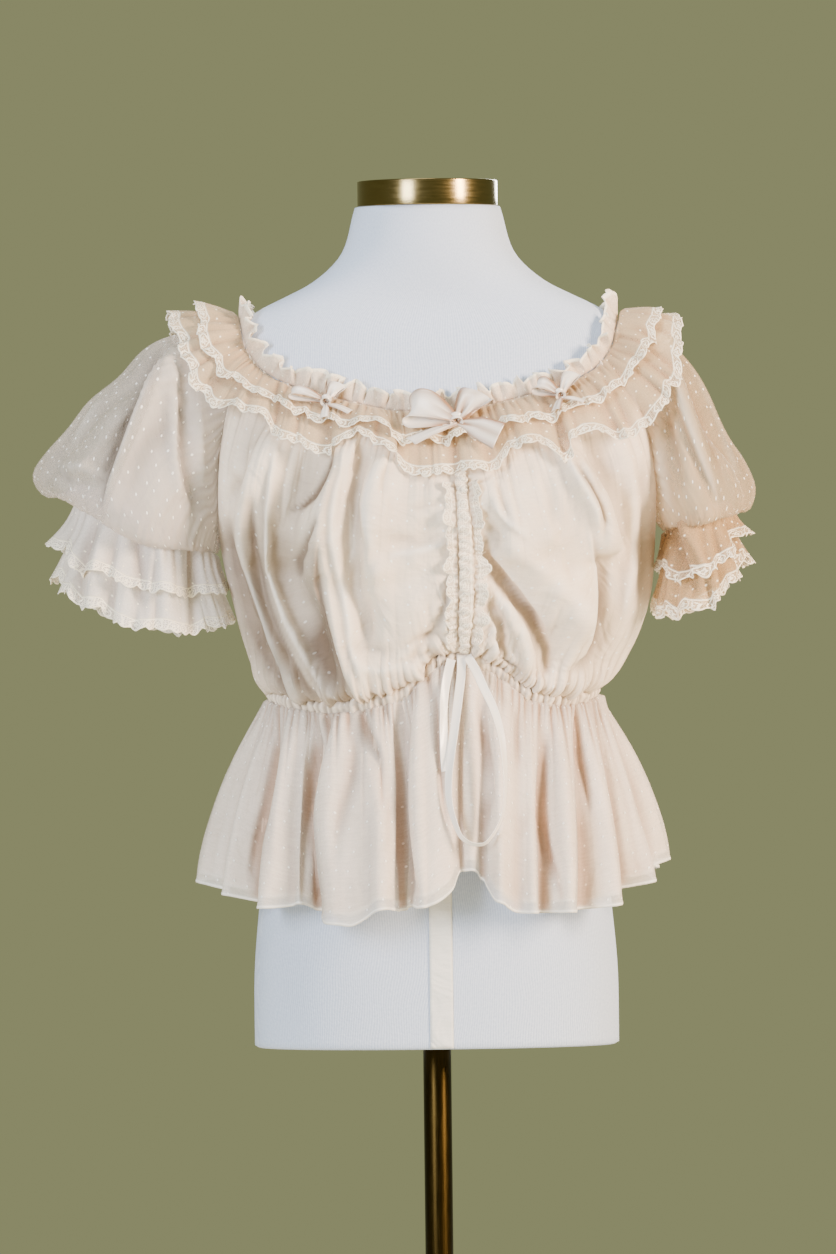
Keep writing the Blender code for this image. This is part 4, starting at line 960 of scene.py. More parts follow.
FINE_RIGHT = hand_placed(
    (-5.5, 4, 3, 60, 1030, 64, 1015, 67, 1002, 72, 994),
    (4, 3, 6, 54, 1012, 70, 993, 86, 981),
    (-4.5, 5, 5, 50, 992, 57, 982, 60, 970),
    (-10, 9, 3, 42, 971, 52, 961, 61, 950, 70, 938, 79, 926, 88, 914, 95, 898, 101, 880, 100, 864,
     94, 855),
    (5, 3, 14, 48, 976, 64, 960, 80, 940, 94, 920, 104, 900),
    (6, 6, 7, 54, 936, 69, 917, 80, 898, 85, 878, 88, 862),
    (-6.5, 6, 3, 50, 928, 56, 914, 61, 903, 62, 890, 65, 874, 74, 862, 84, 854),
    (4, 5, 3, 46, 915, 52, 900, 54, 884, 58, 870),
    (-8.5, 4, 4, 128, 1054, 135, 1040, 144, 1027, 151, 1014, 155, 1002, 155, 990, 152, 978),
    (5, 10, 3, 120, 1050, 128, 1036, 138, 1020, 146, 1004, 147, 990),
    (-7, 3, 7, 146, 966, 148, 941, 147, 920, 146, 901, 144, 886, 139, 875, 129, 866, 116, 861),
    (5, 10, 3, 139, 985, 140, 960, 140, 930, 139, 905, 137, 885),
    (-3.5, 6, 6, 98, 1040, 106, 1015, 110, 990),
    (-4.5, 6, 5, 188, 1052, 190, 1012, 190, 963, 182, 920),
    (-3, 5, 5, 171, 970, 170, 940, 168, 905),
    (4, 8, 8, 180, 1030, 178, 990, 177, 950, 168, 905),
    (-4, 3, 3, 46, 882, 64, 871, 84, 860),
    (-3.5, 4, 3, 46, 900, 54, 893, 60, 884),
)
FINE_BACK = hand_placed(
    (4, 9, 6, -120, 1080, -126, 1020, -118, 950, -96, 880),
    (-4, 6, 8, -84, 1080, -92, 1010, -86, 940, -70, 875),
    (4.5, 6, 10, -46, 1090, -52, 1030, -50, 950, -40, 880),
    (-4, 8, 5, -8, 1090, -14, 1020, -10, 950, -6, 880),
    (4.2, 10, 5, 30, 1090, 36, 1020, 38, 950, 30, 880),
    (-4.2, 5, 8, 66, 1085, 76, 1020, 74, 940, 60, 875),
    (4, 6, 10, 104, 1080, 116, 1020, 112, 950, 92, 880),
    (-3.5, 8, 5, 146, 1060, 158, 1000, 150, 930, 124, 875),
    (3.5, 6, 8, -156, 1050, -160, 990, -148, 920),
    (3, 6, 6, -30, 900, 10, 890, 52, 896),
)
# the first number here is a share of full painted shade, and no height
PAINTED_SHADE_LEFT = hand_placed(
    (1, 16, 12, -184, 1003, -179, 970, -169, 940, -158, 905, -147, 880, -134, 856, -120, 832),
    (0.75, 10, 5, -158, 1018, -156, 970, -148, 930, -139, 902, -125, 873, -114, 852, -100, 828),
    (0.5, 14, 9, -124, 1004, -128, 975, -122, 948, -112, 920),
    (0.65, 12, 5, -105, 990, -102, 955, -98, 925, -95, 895, -90, 872, -80, 850, -66, 828),
    (0.9, 2.5, 4, -87, 1060, -90, 1049, -96, 1036, -104, 1023, -114, 1013, -128, 1005),
    (0.6, 3, 4, -100, 1001, -107, 991, -113, 979, -120, 963, -120, 948),
    (0.3, 12, 12, -112, 905, -100, 862, -82, 820),
)
PAINTED_SHADE_RIGHT = hand_placed(
    (0.4, 3, 9, 146, 968, 148, 941, 147, 920, 146, 901, 144, 886, 139, 875, 126, 864),
    (0.25, 10, 12, 168, 990, 170, 940, 163, 900),
    (0.3, 4, 6, 192, 1040, 196, 1000, 192, 955, 184, 920),
)


def panel(name, node_name, size, finer, creases, painted_shade_lines, seed, flat, pulled_from=CHANNEL_X):
    """A panel; size is the CAD panel's rows and columns, and finer how many come from each."""
    grid = face_grid(node_name, *size, False, 1.2 * MM)
    points = dense(grid, (size[0] - 1) * finer[0] + 1, (size[1] - 1) * finer[1] + 1, False)
    step = run_across(points, False)[-1] / (points.shape[1] - 1)
    reach = {wide: max(round(wide * MM / step), 1) for wide in (3, 5, 15, 22, 35)}
    points = deepened(points, False, reach[22], 0.5)
    out = facing_out(smoothed(points, False, reach[5]), False)
    down, across = run_down(points), run_across(points, False)
    up = down[-1] - down
    x, z = points[..., 0].copy(), points[..., 2].copy()
    # nothing moves where the panel is sewn to another
    side = np.minimum(across, across[-1] - across)
    ease = np.clip(side / 0.012, 0, 1)[None] * np.clip(up / 0.004, 0, 1)
    beside = np.abs(x - pulled_from)
    slant = 0.8 * np.clip(1 - beside / 0.07, 0, 1) * np.sign(pulled_from - x.mean())
    wide = np.broadcast_to(across[None], down.shape)
    slanted = wide + up * slant
    lift = creased(x, z, creases) * ease
    lift += gathers(wide, down, 10 * MM, 3.0 * MM, 0.05, seed) * ease
    lift += gathers(wide, down, 25 * MM, 4.5 * MM, 0.08, seed + 5) * ease
    lift += gathers(slanted, up, 6.5 * MM, 5.0 * MM, 0.014, seed + 1) * ease
    lift += gathers(slanted, up, 13 * MM, 7.0 * MM, 0.026, seed + 2) * ease
    lift += gathers(wide, up, 27 * MM, 6.0 * MM, 0.055, seed + 4) * ease
    lift += gathers(down, beside, 9 * MM, 3.2 * MM, 0.026, seed + 3) * np.clip(down / 0.05, 0, 1)
    points = points + out * lift[..., None]
    points[..., 0] += leaning(x, z, creases) * ease
    # painted shade: how deep each point lies in its folds, the creases' painted shadow lines and the
    # tables of painted shade; and a painted highlight on each crest
    scales = ((3, 0.45), (5, 1.1), (15, 4.0), (35, 12))
    deep = valleys(points, False, *((reach[wide], full * MM) for wide, full in scales))
    dark = shadows(x, z, creases) * ease
    dark += creased(x, z, [(1000 * shade, *line) for shade, *line in painted_shade_lines])
    piece = sheet_piece(
        name, points, (wide, down), CHIFFON, "chiffon", False, 0.6 * MM,
        valley=np.maximum(0.45 * deep, np.clip(dark, 0, 1)), seam=0.4 * crests(x, z, creases) * ease,
    )
    sewn(piece, node_name, flat)


panel(
    "front_left", "bodice_front_left", (16, 29), (5, 16), FINE_LEFT, PAINTED_SHADE_LEFT, 11, (0.36, 0.29)
)
panel(
    "front_right", "bodice_front_right", (16, 19), (5, 22), FINE_RIGHT, PAINTED_SHADE_RIGHT, 21, (0.29, 0.29)
)
panel(
    "back", "bodice_back", (11, 21), (5, 10), FINE_BACK, (), 31, (0.48, 0.30), pulled_from=math.inf
)

# %% [markdown]
# ## The peplum
# Below the waist hangs a short gathered skirt of two layers: a plain opaque lining, and over it
# the dotted sheer overlay, which is 9 mm longer and ends in a narrow rolled hem. Both are wide
# tubes gathered to the waist, so they fall in soft cones. Both follow the CAD folds, and share the
# same gathers, so that they lie on each other without touching. The front's folds are placed one
# by one; round the sides and the back random ones take over.
# %% Peplum
PEPLUM_FOLDS = hand_placed(
    (-6, 4, 3, -131, 832, -138, 800, -143, 770, -149, 742, -157, 715, -163, 684),
    (4, 6, 8, -122, 838, -129, 790, -137, 740, -143, 672),
    (-3.5, 3, 3, -112, 830, -115, 805, -116, 782),
    (-8, 8, 3, -91, 826, -98, 801, -103, 780, -106, 757, -110, 731, -112, 703, -117, 662),
    (5, 3, 14, -84, 824, -92, 790, -97, 757, -102, 720, -105, 670),
    (-4.5, 5, 7, -73, 826, -70, 799, -74, 772, -83, 745, -89, 715, -95, 686),
    (-7.5, 8, 2.5, -61, 830, -57, 811, -49, 792, -44, 775, -44, 760, -46, 742),
    (6, 3, 4, -43, 824, -40, 796, -37, 768, -36, 742, -39, 705, -42, 665),
    (-8, 7, 6, -22, 843, -25, 811, -27, 780, -28, 742, -26, 704, -20, 672),
    (5, 4, 7, -13, 838, -15, 790, -16, 740, -14, 675),
    (-6.5, 4, 3, 1, 850, 3, 832, 4, 805, 6, 780, 9, 751, 13, 725),
    (5.5, 5, 5, 27, 840, 29, 760, 30, 690),
    (-5, 4, 4, 40, 842, 46, 800, 50, 760, 42, 722),
    (3.5, 7, 9, 62, 834, 63, 758, 64, 668),
    (-3.5, 4, 4, 73, 830, 74, 805, 75, 780),
    (-6.5, 4, 4, 99, 808, 96, 772, 94, 745, 95, 721, 98, 703, 104, 686, 112, 664),
    (4, 8, 8, 111, 828, 116, 750, 120, 664),
    (-6.5, 3, 4, 126, 838, 127, 810, 128, 787, 132, 766, 136, 742),
    (3.5, 7, 7, 144, 838, 160, 758, 172, 672),
    (-4, 5, 5, 156, 842, 180, 758, 192, 690),
)
WAIST_GATHERS = 0.0075, 41  # their pitch as a share of the way round, and their seed
WAIST_FOLDS = 0.018, 42


def in_front(points, distance=0.03):
    """1 on the front half of the garment, 0 on the back half."""
    return np.clip(-points[..., 1] / distance, 0, 1)


def peplum_layer(name, node_name, rows, size, material, slot, hem, flat):
    """A layer of the peplum of size rows and columns; hem says whether it ends in a rolled one."""
    grid = face_grid(node_name, rows, 90, True, 1.0 * MM)
    shares = np.linspace(0, 1, size[0] - 4) ** 1.25 * 0.962
    shares = np.append(shares, (0.972, 0.981, 0.991, 1))
    points = deepened(dense(grid, shares, size[1], True), True, size[1] // 30, 0.45)
    out = facing_out(smoothed(points, True, size[1] // 200), True)
    down, wide, share = laid_round(points)
    up = down[-1] - down
    front = in_front(points)
    x, z = points[..., 0].copy(), points[..., 2].copy()
    lift = creased(x, z, PEPLUM_FOLDS) * front
    lift += gathers(share, up, 0.021, 5 * MM, 0.2, 43, 1.0) * (1 - front)
    lift -= 7 * MM * (down / down[-1]) ** 1.5 * (1 - front)
    for (pitch, seed), height, fade in ((WAIST_GATHERS, 4.6, 0.024), (WAIST_FOLDS, 6.5, 0.045)):
        lift += gathers(share, down, pitch, height * MM, fade, seed, 1.0)
    lift *= np.clip(down / 0.003, 0.4, 1)
    points = points + out * (lift + 0.4 * MM)[..., None]
    points[..., 0] += leaning(x, z, PEPLUM_FOLDS) * front * np.clip(down / 0.02, 0, 1)
    roll = np.clip(1.6 * np.exp(-(((up - 1.4 * MM) / (1.5 * MM)) ** 2)), 0, 1)
    if hem:
        points = points + facing_out(points, True) * (0.6 * MM * roll)[..., None]
    # painted shade: how deep each point lies in a fold, more in the gathers near the waist, and the
    # front folds' painted shadow lines; the rolled hem is whitened as double cloth
    deep = valleys(points, True, (size[1] // 300, 0.9 * MM), (size[1] // 80, 4.6 * MM))
    deep = np.clip(deep * (1 + 0.7 * np.exp(-down / 0.03)), 0, 1)
    dark = np.clip(shadows(x, z, PEPLUM_FOLDS), 0, 1) * front
    piece = sheet_piece(
        name, points, (wide, down), material, slot, True, 0.4 * MM,
        valley=np.maximum(deep, 0.55 * dark), seam=0.95 * roll,
    )
    sewn(piece, node_name, flat)


peplum_layer(
    "peplum_lining_cloth", "peplum_lining", 4, (14, 600), LINING, "lining", False, (1.25, 0.17)
)
peplum_layer(
    "peplum_overlay_cloth", "peplum_overlay", 5, (27, 1200), OVERLAY, "chiffon", True, (1.3, 0.18)
)

# %% [markdown]
# ## The gathered waist
# A narrow casing with elastic in it draws bodice and peplum together. Its cloth is packed into
# puckers 5 mm apart, which run on into those of the peplum, as one thread gathers both. Its edges
# go on a little way behind the bodice and the peplum, as seam allowances do, so that no gap shows
# between them. Packed cloth is wider than it looks, so its UV map is stretched 1.8 times.
# %% Waist casing


def casing():
    points = dense(face_grid("waist_casing", 3, 72, True, 2.0 * MM), 7, 900, True)
    out = facing_out(points, True)
    allowance = np.array((0, 0, 4 * MM))
    above = points[:1] + allowance - out[:1] * 2.2 * MM
    below = points[-1:] - allowance - out[-1:] * 1.6 * MM
    points = np.concatenate([above, points, below])
    out = np.concatenate([out[:1], out, out[-1:]])
    down, wide, share = laid_round(points)
    middle = np.sin(math.pi * down / down[-1])
    pitch, seed = WAIST_GATHERS
    lift = ripples(share, pitch, 2.8 * MM, seed) * (0.75 + 0.25 * middle)
    pitch, seed = WAIST_FOLDS
    lift += ripples(share, pitch, 3.4 * MM, seed) * (0.8 + 0.2 * middle)
    points = points + out * (lift + 0.2 * MM)[..., None]
    # painted shade in the puckers
    deep = valleys(points, True, (2, 0.6 * MM), (4, 1.2 * MM))
    piece = sheet_piece(
        "waist_gathers", points, (wide * 1.8, down), CHIFFON, "chiffon", True, 0.6 * MM, valley=deep
    )
    sewn(piece, "waist_casing", (0.9, 0.018))


casing()

# %% [markdown]
# ## The sleeves
# Short puffed sleeves of one sheer layer, so the background and the arm side show through. Light
# comes through the left one cool and through the right one warm, so the one chiffon has two colours
# of painted light: paler and cool on the left, darker and warm on the right. Long folds run from
# the neckline to the elastic at the cuff, where the cloth turns under itself. The left sleeve has
# one strong fold down its front. From that line inwards the cloth lies over more cloth and is
# denser, which the layers attribute says; outside of it the cloth lies single, and is clearer. The
# folds on the front get painted shadow in their grooves and a painted highlight on their crests.
# %% Sleeves
SLEEVE_FOLDS = {
    "sleeve_left": hand_placed(
        (12.5, 3, 14, -226, 1158, -234, 1137, -246, 1118, -256, 1098, -264, 1078, -280, 1036,
         -288, 1008),
        (-12, 12, 4, -238, 1172, -243, 1150, -252, 1128, -261, 1108, -270, 1086, -278, 1064,
         -288, 1040),
        (6, 4, 3, -226, 1150, -227, 1117, -228, 1085, -228, 1055, -222, 1020),
        (-7, 3, 9, -220, 1148, -220, 1105, -219, 1066, -214, 1030, -207, 1004),
        (4, 4, 4, -206, 1110, -205, 1070, -203, 1030),
        (4.5, 3, 6, -336, 1052, -320, 1047, -306, 1048, -290, 1040),
        (-4, 4, 4, -328, 1042, -314, 1036, -298, 1032),
        (-4, 4, 6, -300, 1120, -318, 1090, -334, 1060, -322, 1030),
        (3.5, 6, 3, -278, 1138, -300, 1102, -322, 1068),
    ),
    "sleeve_right": hand_placed(
        (7, 4, 12, 212, 1146, 224, 1100, 240, 1050, 254, 1012),
        (-6, 5, 5, 204, 1120, 212, 1070, 222, 1020),
        (5, 3, 8, 234, 1134, 256, 1082, 272, 1034),
        (-5.5, 6, 4, 226, 1134, 245, 1080, 262, 1026),
        (4.5, 6, 4, 200, 1080, 206, 1040, 212, 1004),
        (-4, 4, 6, 252, 1110, 270, 1070, 282, 1034),
    ),
}
# where the cloth is drawn aside: a place, how far round it, and by how much to the right and up
SLEEVE_PULLS = {
    "sleeve_left": ((-296, 1142, 34, 12, -8), (-336, 1092, 34, 7, -4), (-318, 1000, 42, 0, 12)),
    "sleeve_right": ((286, 1090, 34, -5, -2),),
}
# the line, in x and z, between single cloth and cloth that lies over more
SLEEVE_LINED = {
    "sleeve_left": ((-294, 1000), (-284, 1030), (-268, 1066), (-254, 1100), (-234, 1160)),
    "sleeve_right": ((262, 1000), (252, 1050), (236, 1100), (222, 1150)),
}


def sleeve(node_name, cloth, seed, flat):
    low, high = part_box(node_name)
    grid = face_grid(node_name, 10, 28, True, 1.2 * MM, heart=((low.x + high.x) / 2, 0))
    points = deepened(dense(grid, 46, 320, True), True, 20, 0.4)
    for x, z, radius, right, up in SLEEVE_PULLS[node_name]:
        far = np.hypot(points[..., 0] - x * MM, points[..., 2] - z * MM) / (radius * MM)
        points = points + np.exp(-(far**2))[..., None] * np.array((right, 0, up)) * MM
    out = facing_out(smoothed(points, True, 4), True)
    down, wide, share = laid_round(points)
    up = down[-1] - down
    front = in_front(points)
    soft = np.clip(down / 0.02, 0, 1) * np.clip(up / 0.02, 0, 1)
    x, z, folds = points[..., 0].copy(), points[..., 2].copy(), SLEEVE_FOLDS[node_name]
    lift = creased(x, z, folds) * front * soft
    lift += ripples(share, 0.06, 4.0 * MM, seed + 5) * (1 - front) * soft
    lift += gathers(share, down, 0.017, 3.0 * MM, 0.06, seed, 1.0)
    lift += gathers(share, up, 0.013, 3.2 * MM, 0.03, seed + 1, 1.0) * np.clip(up / 0.006, 0, 1)
    points = points + out * (lift * np.clip(down / 0.004, 0, 1))[..., None]
    points[..., 0] += leaning(x, z, folds) * front * soft
    line_x, line_z = np.array(SLEEVE_LINED[node_name]).T * MM
    line = np.interp(points[..., 2], line_z, line_x)
    inner = np.clip(np.sign(line) * (line - points[..., 0]) / 0.006, 0, 1) * front
    # painted shade in the folds and along the front folds' grooves, and a painted highlight on their
    # crests
    deep = valleys(points, True, (4, 1.8 * MM), (11, 4.0 * MM))
    dark = np.clip(shadows(x, z, folds), 0, 1) * front
    piece = sheet_piece(
        node_name + "_cloth", points, (wide, down), cloth, "sheer_chiffon", True,
        0.4 * MM, valley=np.maximum(deep, np.clip(1.35 * dark, 0, 0.95)),
        seam=0.42 * (crests(x, z, folds) * front), layers=0.42 * inner,
    )
    sewn(piece, node_name, flat)


sleeve("sleeve_left", SHEER_COOL_LIGHT, 61, (0.60, 0.19))
sleeve("sleeve_right", SHEER_WARM_SHADE, 71, (0.46, 0.16))

# %% [markdown]
# ## Ruffles edged with lace
# Every ruffle is a strip of chiffon gathered along its top, with lace sewn to its lower edge: the
# two tiers round the neckline, the two at each cuff, and the frills beside the centre channel.
# One function draws them all. It walks down the CAD ruffle's face, adds gathers at the top and
# flutes that grow towards a hem that bobs up and down. It gives the last 11 mm to the lace, whose
# scallops are cut into the edge itself, so that the outline is real and not painted. Tiers that
# lie over each other share the seed of their flutes, and the cuffs share a few listed folds, so one
# never comes through the other.
# %% Lace-edged ruffles
SCALLOP_CUT = 3.4  # millimetres from a scallop's tip up to the notches between


def notched(scallop, cut):
    """How deep, in millimetres, the edge is cut in at each place along a row of scallops."""
    return cut * (1 - np.abs(np.sin(math.pi * scallop)) ** 0.7)


def ruffle(
    name, node_name, size, steps, settings, flat,
    closed=True, heart=(0, 0), towards=(0, 0, 2), cloth=RUFFLE, folds=(),
):
    """A lace-edged ruffle. Size is the CAD ruffle's rows and columns, and steps are this one's
    rows of cloth, rows of lace and columns. The settings are the gathers' pitch, height and fade,
    how many flutes, their size, how far the hem bobs, the tiers' common seed and the ruffle's own.
    """
    pitch, height, fade, flutes, flute_size, bobbing, seed, own_seed = settings
    cloth_rows, lace_rows, columns = steps
    flute = 1 / flutes
    points = dense(face_grid(node_name, *size, closed, 1.0 * MM, towards, heart), 40, columns, closed)
    if closed:
        points = deepened(points, closed, columns // 40, 0.35)
    down, across = run_down(points), run_across(points, closed)
    length, depth = across[-1], down[-1]
    share = across[:columns] / length
    count = round(length / (SCALLOP * MM))
    scallop = share * count
    notch = notched(scallop, SCALLOP_CUT)
    # millimetres from the hem's tips: rows of lace, above them rows of chiffon
    lace_y = np.linspace(LACE_DEPTH, 0, lace_rows + 1)[:, None]
    lace_y = LACE_DEPTH - (LACE_DEPTH - lace_y) * (LACE_DEPTH - notch) / LACE_DEPTH
    chiffon_y = np.linspace(1, 0, cloth_rows, endpoint=False)[:, None] * (depth / MM - LACE_DEPTH)
    from_tip = np.vstack([chiffon_y + LACE_DEPTH, lace_y])
    bob = bobbing - ripples(share, 1.6 * flute, bobbing, own_seed)
    run = np.clip(depth - bob * (1 - from_tip * MM / depth) - from_tip * MM, 0, None)
    shaped = np.empty((*run.shape, 3))
    for column in range(columns):
        for axis in range(3):
            line = points[:, column, axis]
            shaped[:, column, axis] = np.interp(run[:, column], down[:, column], line)
    out = facing_out(shaped, closed)
    wide = np.broadcast_to(across[None, :columns], run.shape)
    share = wide / length
    to_hem = (run / depth) ** 1.2
    lift = gathers(share, run, pitch / length, height, fade, own_seed + 1, 1.0)
    lift += ripples(share, flute, flute_size, seed + 1) * to_hem
    lift += ripples(share, 2.7 * flute, flute_size, seed + 2) * to_hem
    front = in_front(shaped, 0.02)
    lift += creased(shaped[..., 0], shaped[..., 2], folds) * front
    shaped = shaped + out * (lift * np.clip(run / 0.002, 0, 1))[..., None]
    if closed:
        beside = unit(np.roll(shaped, -3, 1) - np.roll(shaped, 3, 1))
        lean = ripples(share, 0.9 * flute, 1.3 * flute_size, seed + 4)
        shaped = shaped + beside * (lean * to_hem**1.4)[..., None]
    # painted shade in the flutes' folds and along the grooves of the cuff folds
    deep = valleys(shaped, closed, (4, 1.3 * MM), (12, 3.4 * MM))
    dark = np.clip(shadows(shaped[..., 0], shaped[..., 2], folds), 0, 1) * front
    piece = sheet_piece(
        name, shaped, (wide, run), cloth, "lace_ruffle", closed, 0.4 * MM,
        lace=(scallop, from_tip), valley=np.maximum(deep, 0.9 * dark), edge=from_tip - notch,
    )
    sewn(piece, node_name, flat)
    print("  with", count, "scallops")


NECK = (9 * MM, 4.2 * MM, 0.026, 52, 8.5 * MM, 9 * MM, 81)
CUFF = (13 * MM, 4.2 * MM, 0.035, 18, 9.0 * MM, 9 * MM)
CENTRE = (6 * MM, 3.0 * MM, 0.014, 13, 9.5 * MM, 7 * MM)
CUFF_FOLDS = {
    "left": hand_placed(
        (-10, 4, 4, -296, 1006, -307, 978, -313, 954, -315, 920),
        (8, 4, 16, -284, 1006, -295, 976, -302, 950, -303, 916),
        (-7, 5, 5, -262, 1000, -258, 960, -256, 910),
        (7, 6, 8, -244, 1000, -240, 950, -238, 905),
        (-9, 4, 6, -212, 1000, -211, 950, -210, 900),
    ),
    "right": hand_placed(
        (9, 4, 8, 218, 1012, 230, 980, 250, 930),
        (-9, 6, 4, 208, 1010, 218, 975, 236, 925),
        (-6, 5, 5, 262, 1005, 272, 970, 280, 935),
        (6, 6, 6, 192, 1000, 196, 960, 200, 915),
    ),
}

ruffle("neck_tier_lower", "neck_ruffle_lower", (3, 84), (8, 6, 1098), (*NECK, 86), (1.4, 0.070))
ruffle("neck_tier_upper", "neck_ruffle_upper", (3, 84), (7, 6, 981), (*NECK, 96), (1.35, 0.042))
# the left cuffs in painted cool light, the right ones in painted warm shade
for side, place, own_seed, columns, heart_x, cloth, flat in (
    ("left", "lower", 101, 420, -0.26, CUFF_COOL_LIGHT, (0.60, 0.085)),
    ("left", "upper", 111, 420, -0.26, CUFF_COOL_LIGHT, (0.58, 0.058)),
    ("right", "lower", 101, 360, 0.245, CUFF_WARM_SHADE, (0.50, 0.072)),
    ("right", "upper", 111, 360, 0.245, CUFF_WARM_SHADE, (0.50, 0.048)),
):
    ruffle(
        f"cuff_{side}_{place}", f"sleeve_{side}_tier_{place}", (3, 28), (9, 6, columns),
        (*CUFF, 101 + len(side), own_seed), flat,
        heart=(heart_x, 0), cloth=cloth, folds=CUFF_FOLDS[side],
    )
for side in ("left", "right"):
    ruffle(
        f"centre_frill_{side}", f"centre_lace_{side}", (3, 15), (5, 7, 210),
        (*CENTRE, 121 + len(side), 127), (0.15, 0.018),
        closed=False, towards=(0.030, -0.13, 0.96), cloth=FRILL,
    )

# %% [markdown]
# ## The heading
# Above the elastic stands a narrow frill of the ruffle's own cloth. It is edged with the same lace
# in smaller scallops, 8 mm wide, and puckered hard, so it stands up in small loops round the
# neckline. Some loops stand taller, and four tufts at the shoulders stand tallest.
# %% Heading frill
HEADING_SCALLOP = 8 * MM
HEADING_ROWS = 10
# the tufts: x, y, z, and how far they stand up, in millimetres
HEADING_TUFTS = ((-184, -5, 1196, 8), (-172, -40, 1172, 5), (158, -5, 1190, 8), (150, -40, 1165, 5))


def heading():
    grid = face_grid("neck_heading", 2, 64, True, 1.0 * MM)[::-1, ::-1]
    points = dense(grid, HEADING_ROWS, 1200, True)
    down, across = run_down(points), run_across(points, True)
    height, length = down[-1], across[-1]
    share = across[:-1] / length
    scallop = share * round(length / HEADING_SCALLOP)
    notch = notched(scallop, 1.2)
    rise = np.linspace(0, 1, HEADING_ROWS)[:, None]
    tall = ripples(share, 0.021, 10 * MM, 132)
    for *place, taller in HEADING_TUFTS:
        away = np.linalg.norm(points[-1] - np.array(place) * MM, axis=-1)
        tall += taller * MM * np.exp(-((away / (13 * MM)) ** 2))
    out = facing_out(points, True)
    up = unit(points[-1] - points[0])
    along = unit(np.roll(points, -3, 1) - np.roll(points, 3, 1))
    shaped = points[0] + up * rise[..., None] * (height + tall - notch * MM)[:, None]
    wide = share + 0 * rise
    lift = ripples(wide, 0.0125, 11 * MM, 133) * rise**0.7
    lift += ripples(wide, 0.027, 7.0 * MM, 134) * rise**1.2
    lean = ripples(wide, 0.0145, 9 * MM, 135) * rise
    shaped = shaped + out * lift[..., None] + along * lean[..., None]
    from_tip = (1 - rise) * (height / MM - notch) + notch
    # painted shade in the loops' folds, and over the foot of the frill, down by the elastic
    deep = np.maximum(valleys(shaped, True, (4, 2.4 * MM)), 0.75 * (1 - rise) ** 2)
    piece = sheet_piece(
        "heading_frill", shaped, (wide * length * 1.6, rise * height), FRILL, "lace_ruffle", True,
        0.4 * MM, lace=(scallop, from_tip + 9.5), valley=deep, edge=from_tip - notch,
    )
    sewn(piece, "neck_heading", (1.6, 0.018))


heading()

# %% [markdown]
# ## The ruched channel
# A narrow strip, here of the frills' lace cloth, is stitched over the centre seam to carry the
# drawstring, and is bunched up on it. It is the CAD strip with its doubles merged, its triangles
# joined to quads and its surface subdivided. Then two sets of slanting ridges, which cross each
# other, crumple it.
# %% Centre channel


def channel():
    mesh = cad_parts["centre_strip"].data.copy()
    piece = bpy.data.objects.new("ruched_channel", mesh)
    bpy.context.scene.collection.objects.link(piece)
    only(piece)
    bpy.ops.object.mode_set(mode="EDIT")
    bpy.ops.mesh.select_all(action="SELECT")
    bpy.ops.mesh.remove_doubles(threshold=1e-5)
    steepest = math.radians(60)
    bpy.ops.mesh.tris_convert_to_quads(face_threshold=steepest, shape_threshold=steepest)
    bpy.ops.object.mode_set(mode="OBJECT")
    smooth = piece.modifiers.new("smooth", "SUBSURF")
    smooth.levels = smooth.render_levels = 3
    bpy.ops.object.modifier_apply(modifier=smooth.name)
    points = np.empty(len(mesh.vertices) * 3)
    mesh.vertices.foreach_get("co", points)
    points = points.reshape(-1, 3)
    x, z = points[:, 0], points[:, 2]
    lift = gathers(z.max() - z + 0.3 * (x - x.mean()), 0 * z, 5.5 * MM, 3.8 * MM, 1.0, 141)
    lift += gathers(z.max() - z - 0.5 * (x - x.mean()), 0 * z, 9 * MM, 3.0 * MM, 1.0, 142)
    middle = (z.min() + z.max()) / 2
    fade = np.clip((0.5 * (z.max() - z.min()) - np.abs(z - middle)) / 0.006, 0, 1)
    points[:, 1] -= lift * fade
    points[:, 0] += 0.35 * lift * fade * np.sign(x - x.mean())
    mesh.vertices.foreach_set("co", points.ravel())
    while mesh.uv_layers:
        mesh.uv_layers.remove(mesh.uv_layers[0])
    spread_uv(mesh, "Cloth", np.stack([points[:, 0], -points[:, 2]], -1))
    spread_uv(mesh, "Lace", np.stack([points[:, 2] / (SCALLOP * MM), 5.6 + (x - x.mean()) / MM], -1))
    # painted shade in the troughs of the ruching, and a little over all of it
    set_field(mesh, "valley", np.clip(0.2 - lift / (6 * MM), 0, 0.8))
    set_field(mesh, "edge", np.full(len(points), 9.0))
    mesh.materials.clear()
    mesh.materials.append(FRILL)
    mesh.shade_smooth()
    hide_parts("centre_strip")
    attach(piece, "root")
    print("channel faces:", len(mesh.polygons))


channel()

# %% [markdown]
# ## The bows
# Three satin bows sit on the upper tier: a large one at the centre front and a small one on each
# side. Each is tied from ribbon: two loops that come forward and fold back, two tails, and a knot
# that wraps them. The ribbons are swept strips like the drawstring; the knot is a short roll
# round them. Their places come from the CAD bows, a few millimetres lower, as a tied bow sags, and
# their slope from the ruffle below them. The fold attribute shades a ribbon where it enters the
# knot, and the parts of it that turn away from the light.
# %% Bows
# along a loop: its reach as a share of its length, millimetres to the front, its width as a share
# and how far it twists aside
BOW_LOOP = np.array(
    (
        (0.02, 1.2, 0.26, 0.0), (0.26, 6.0, 0.66, 0.12), (0.6, 10.2, 0.96, 0.28),
        (0.88, 10.6, 1.08, 0.22), (1.0, 7.6, 1.05, 0.0), (0.93, 4.4, 1.0, -0.2),
        (0.62, 2.9, 0.88, -0.15), (0.3, 1.6, 0.56, 0.0), (0.02, -0.2, 0.26, 0.0),
    )
)
LOOP_STEPS = np.linspace(0, 1, 48)
TAIL_STEPS = np.linspace(0, 1, 30)
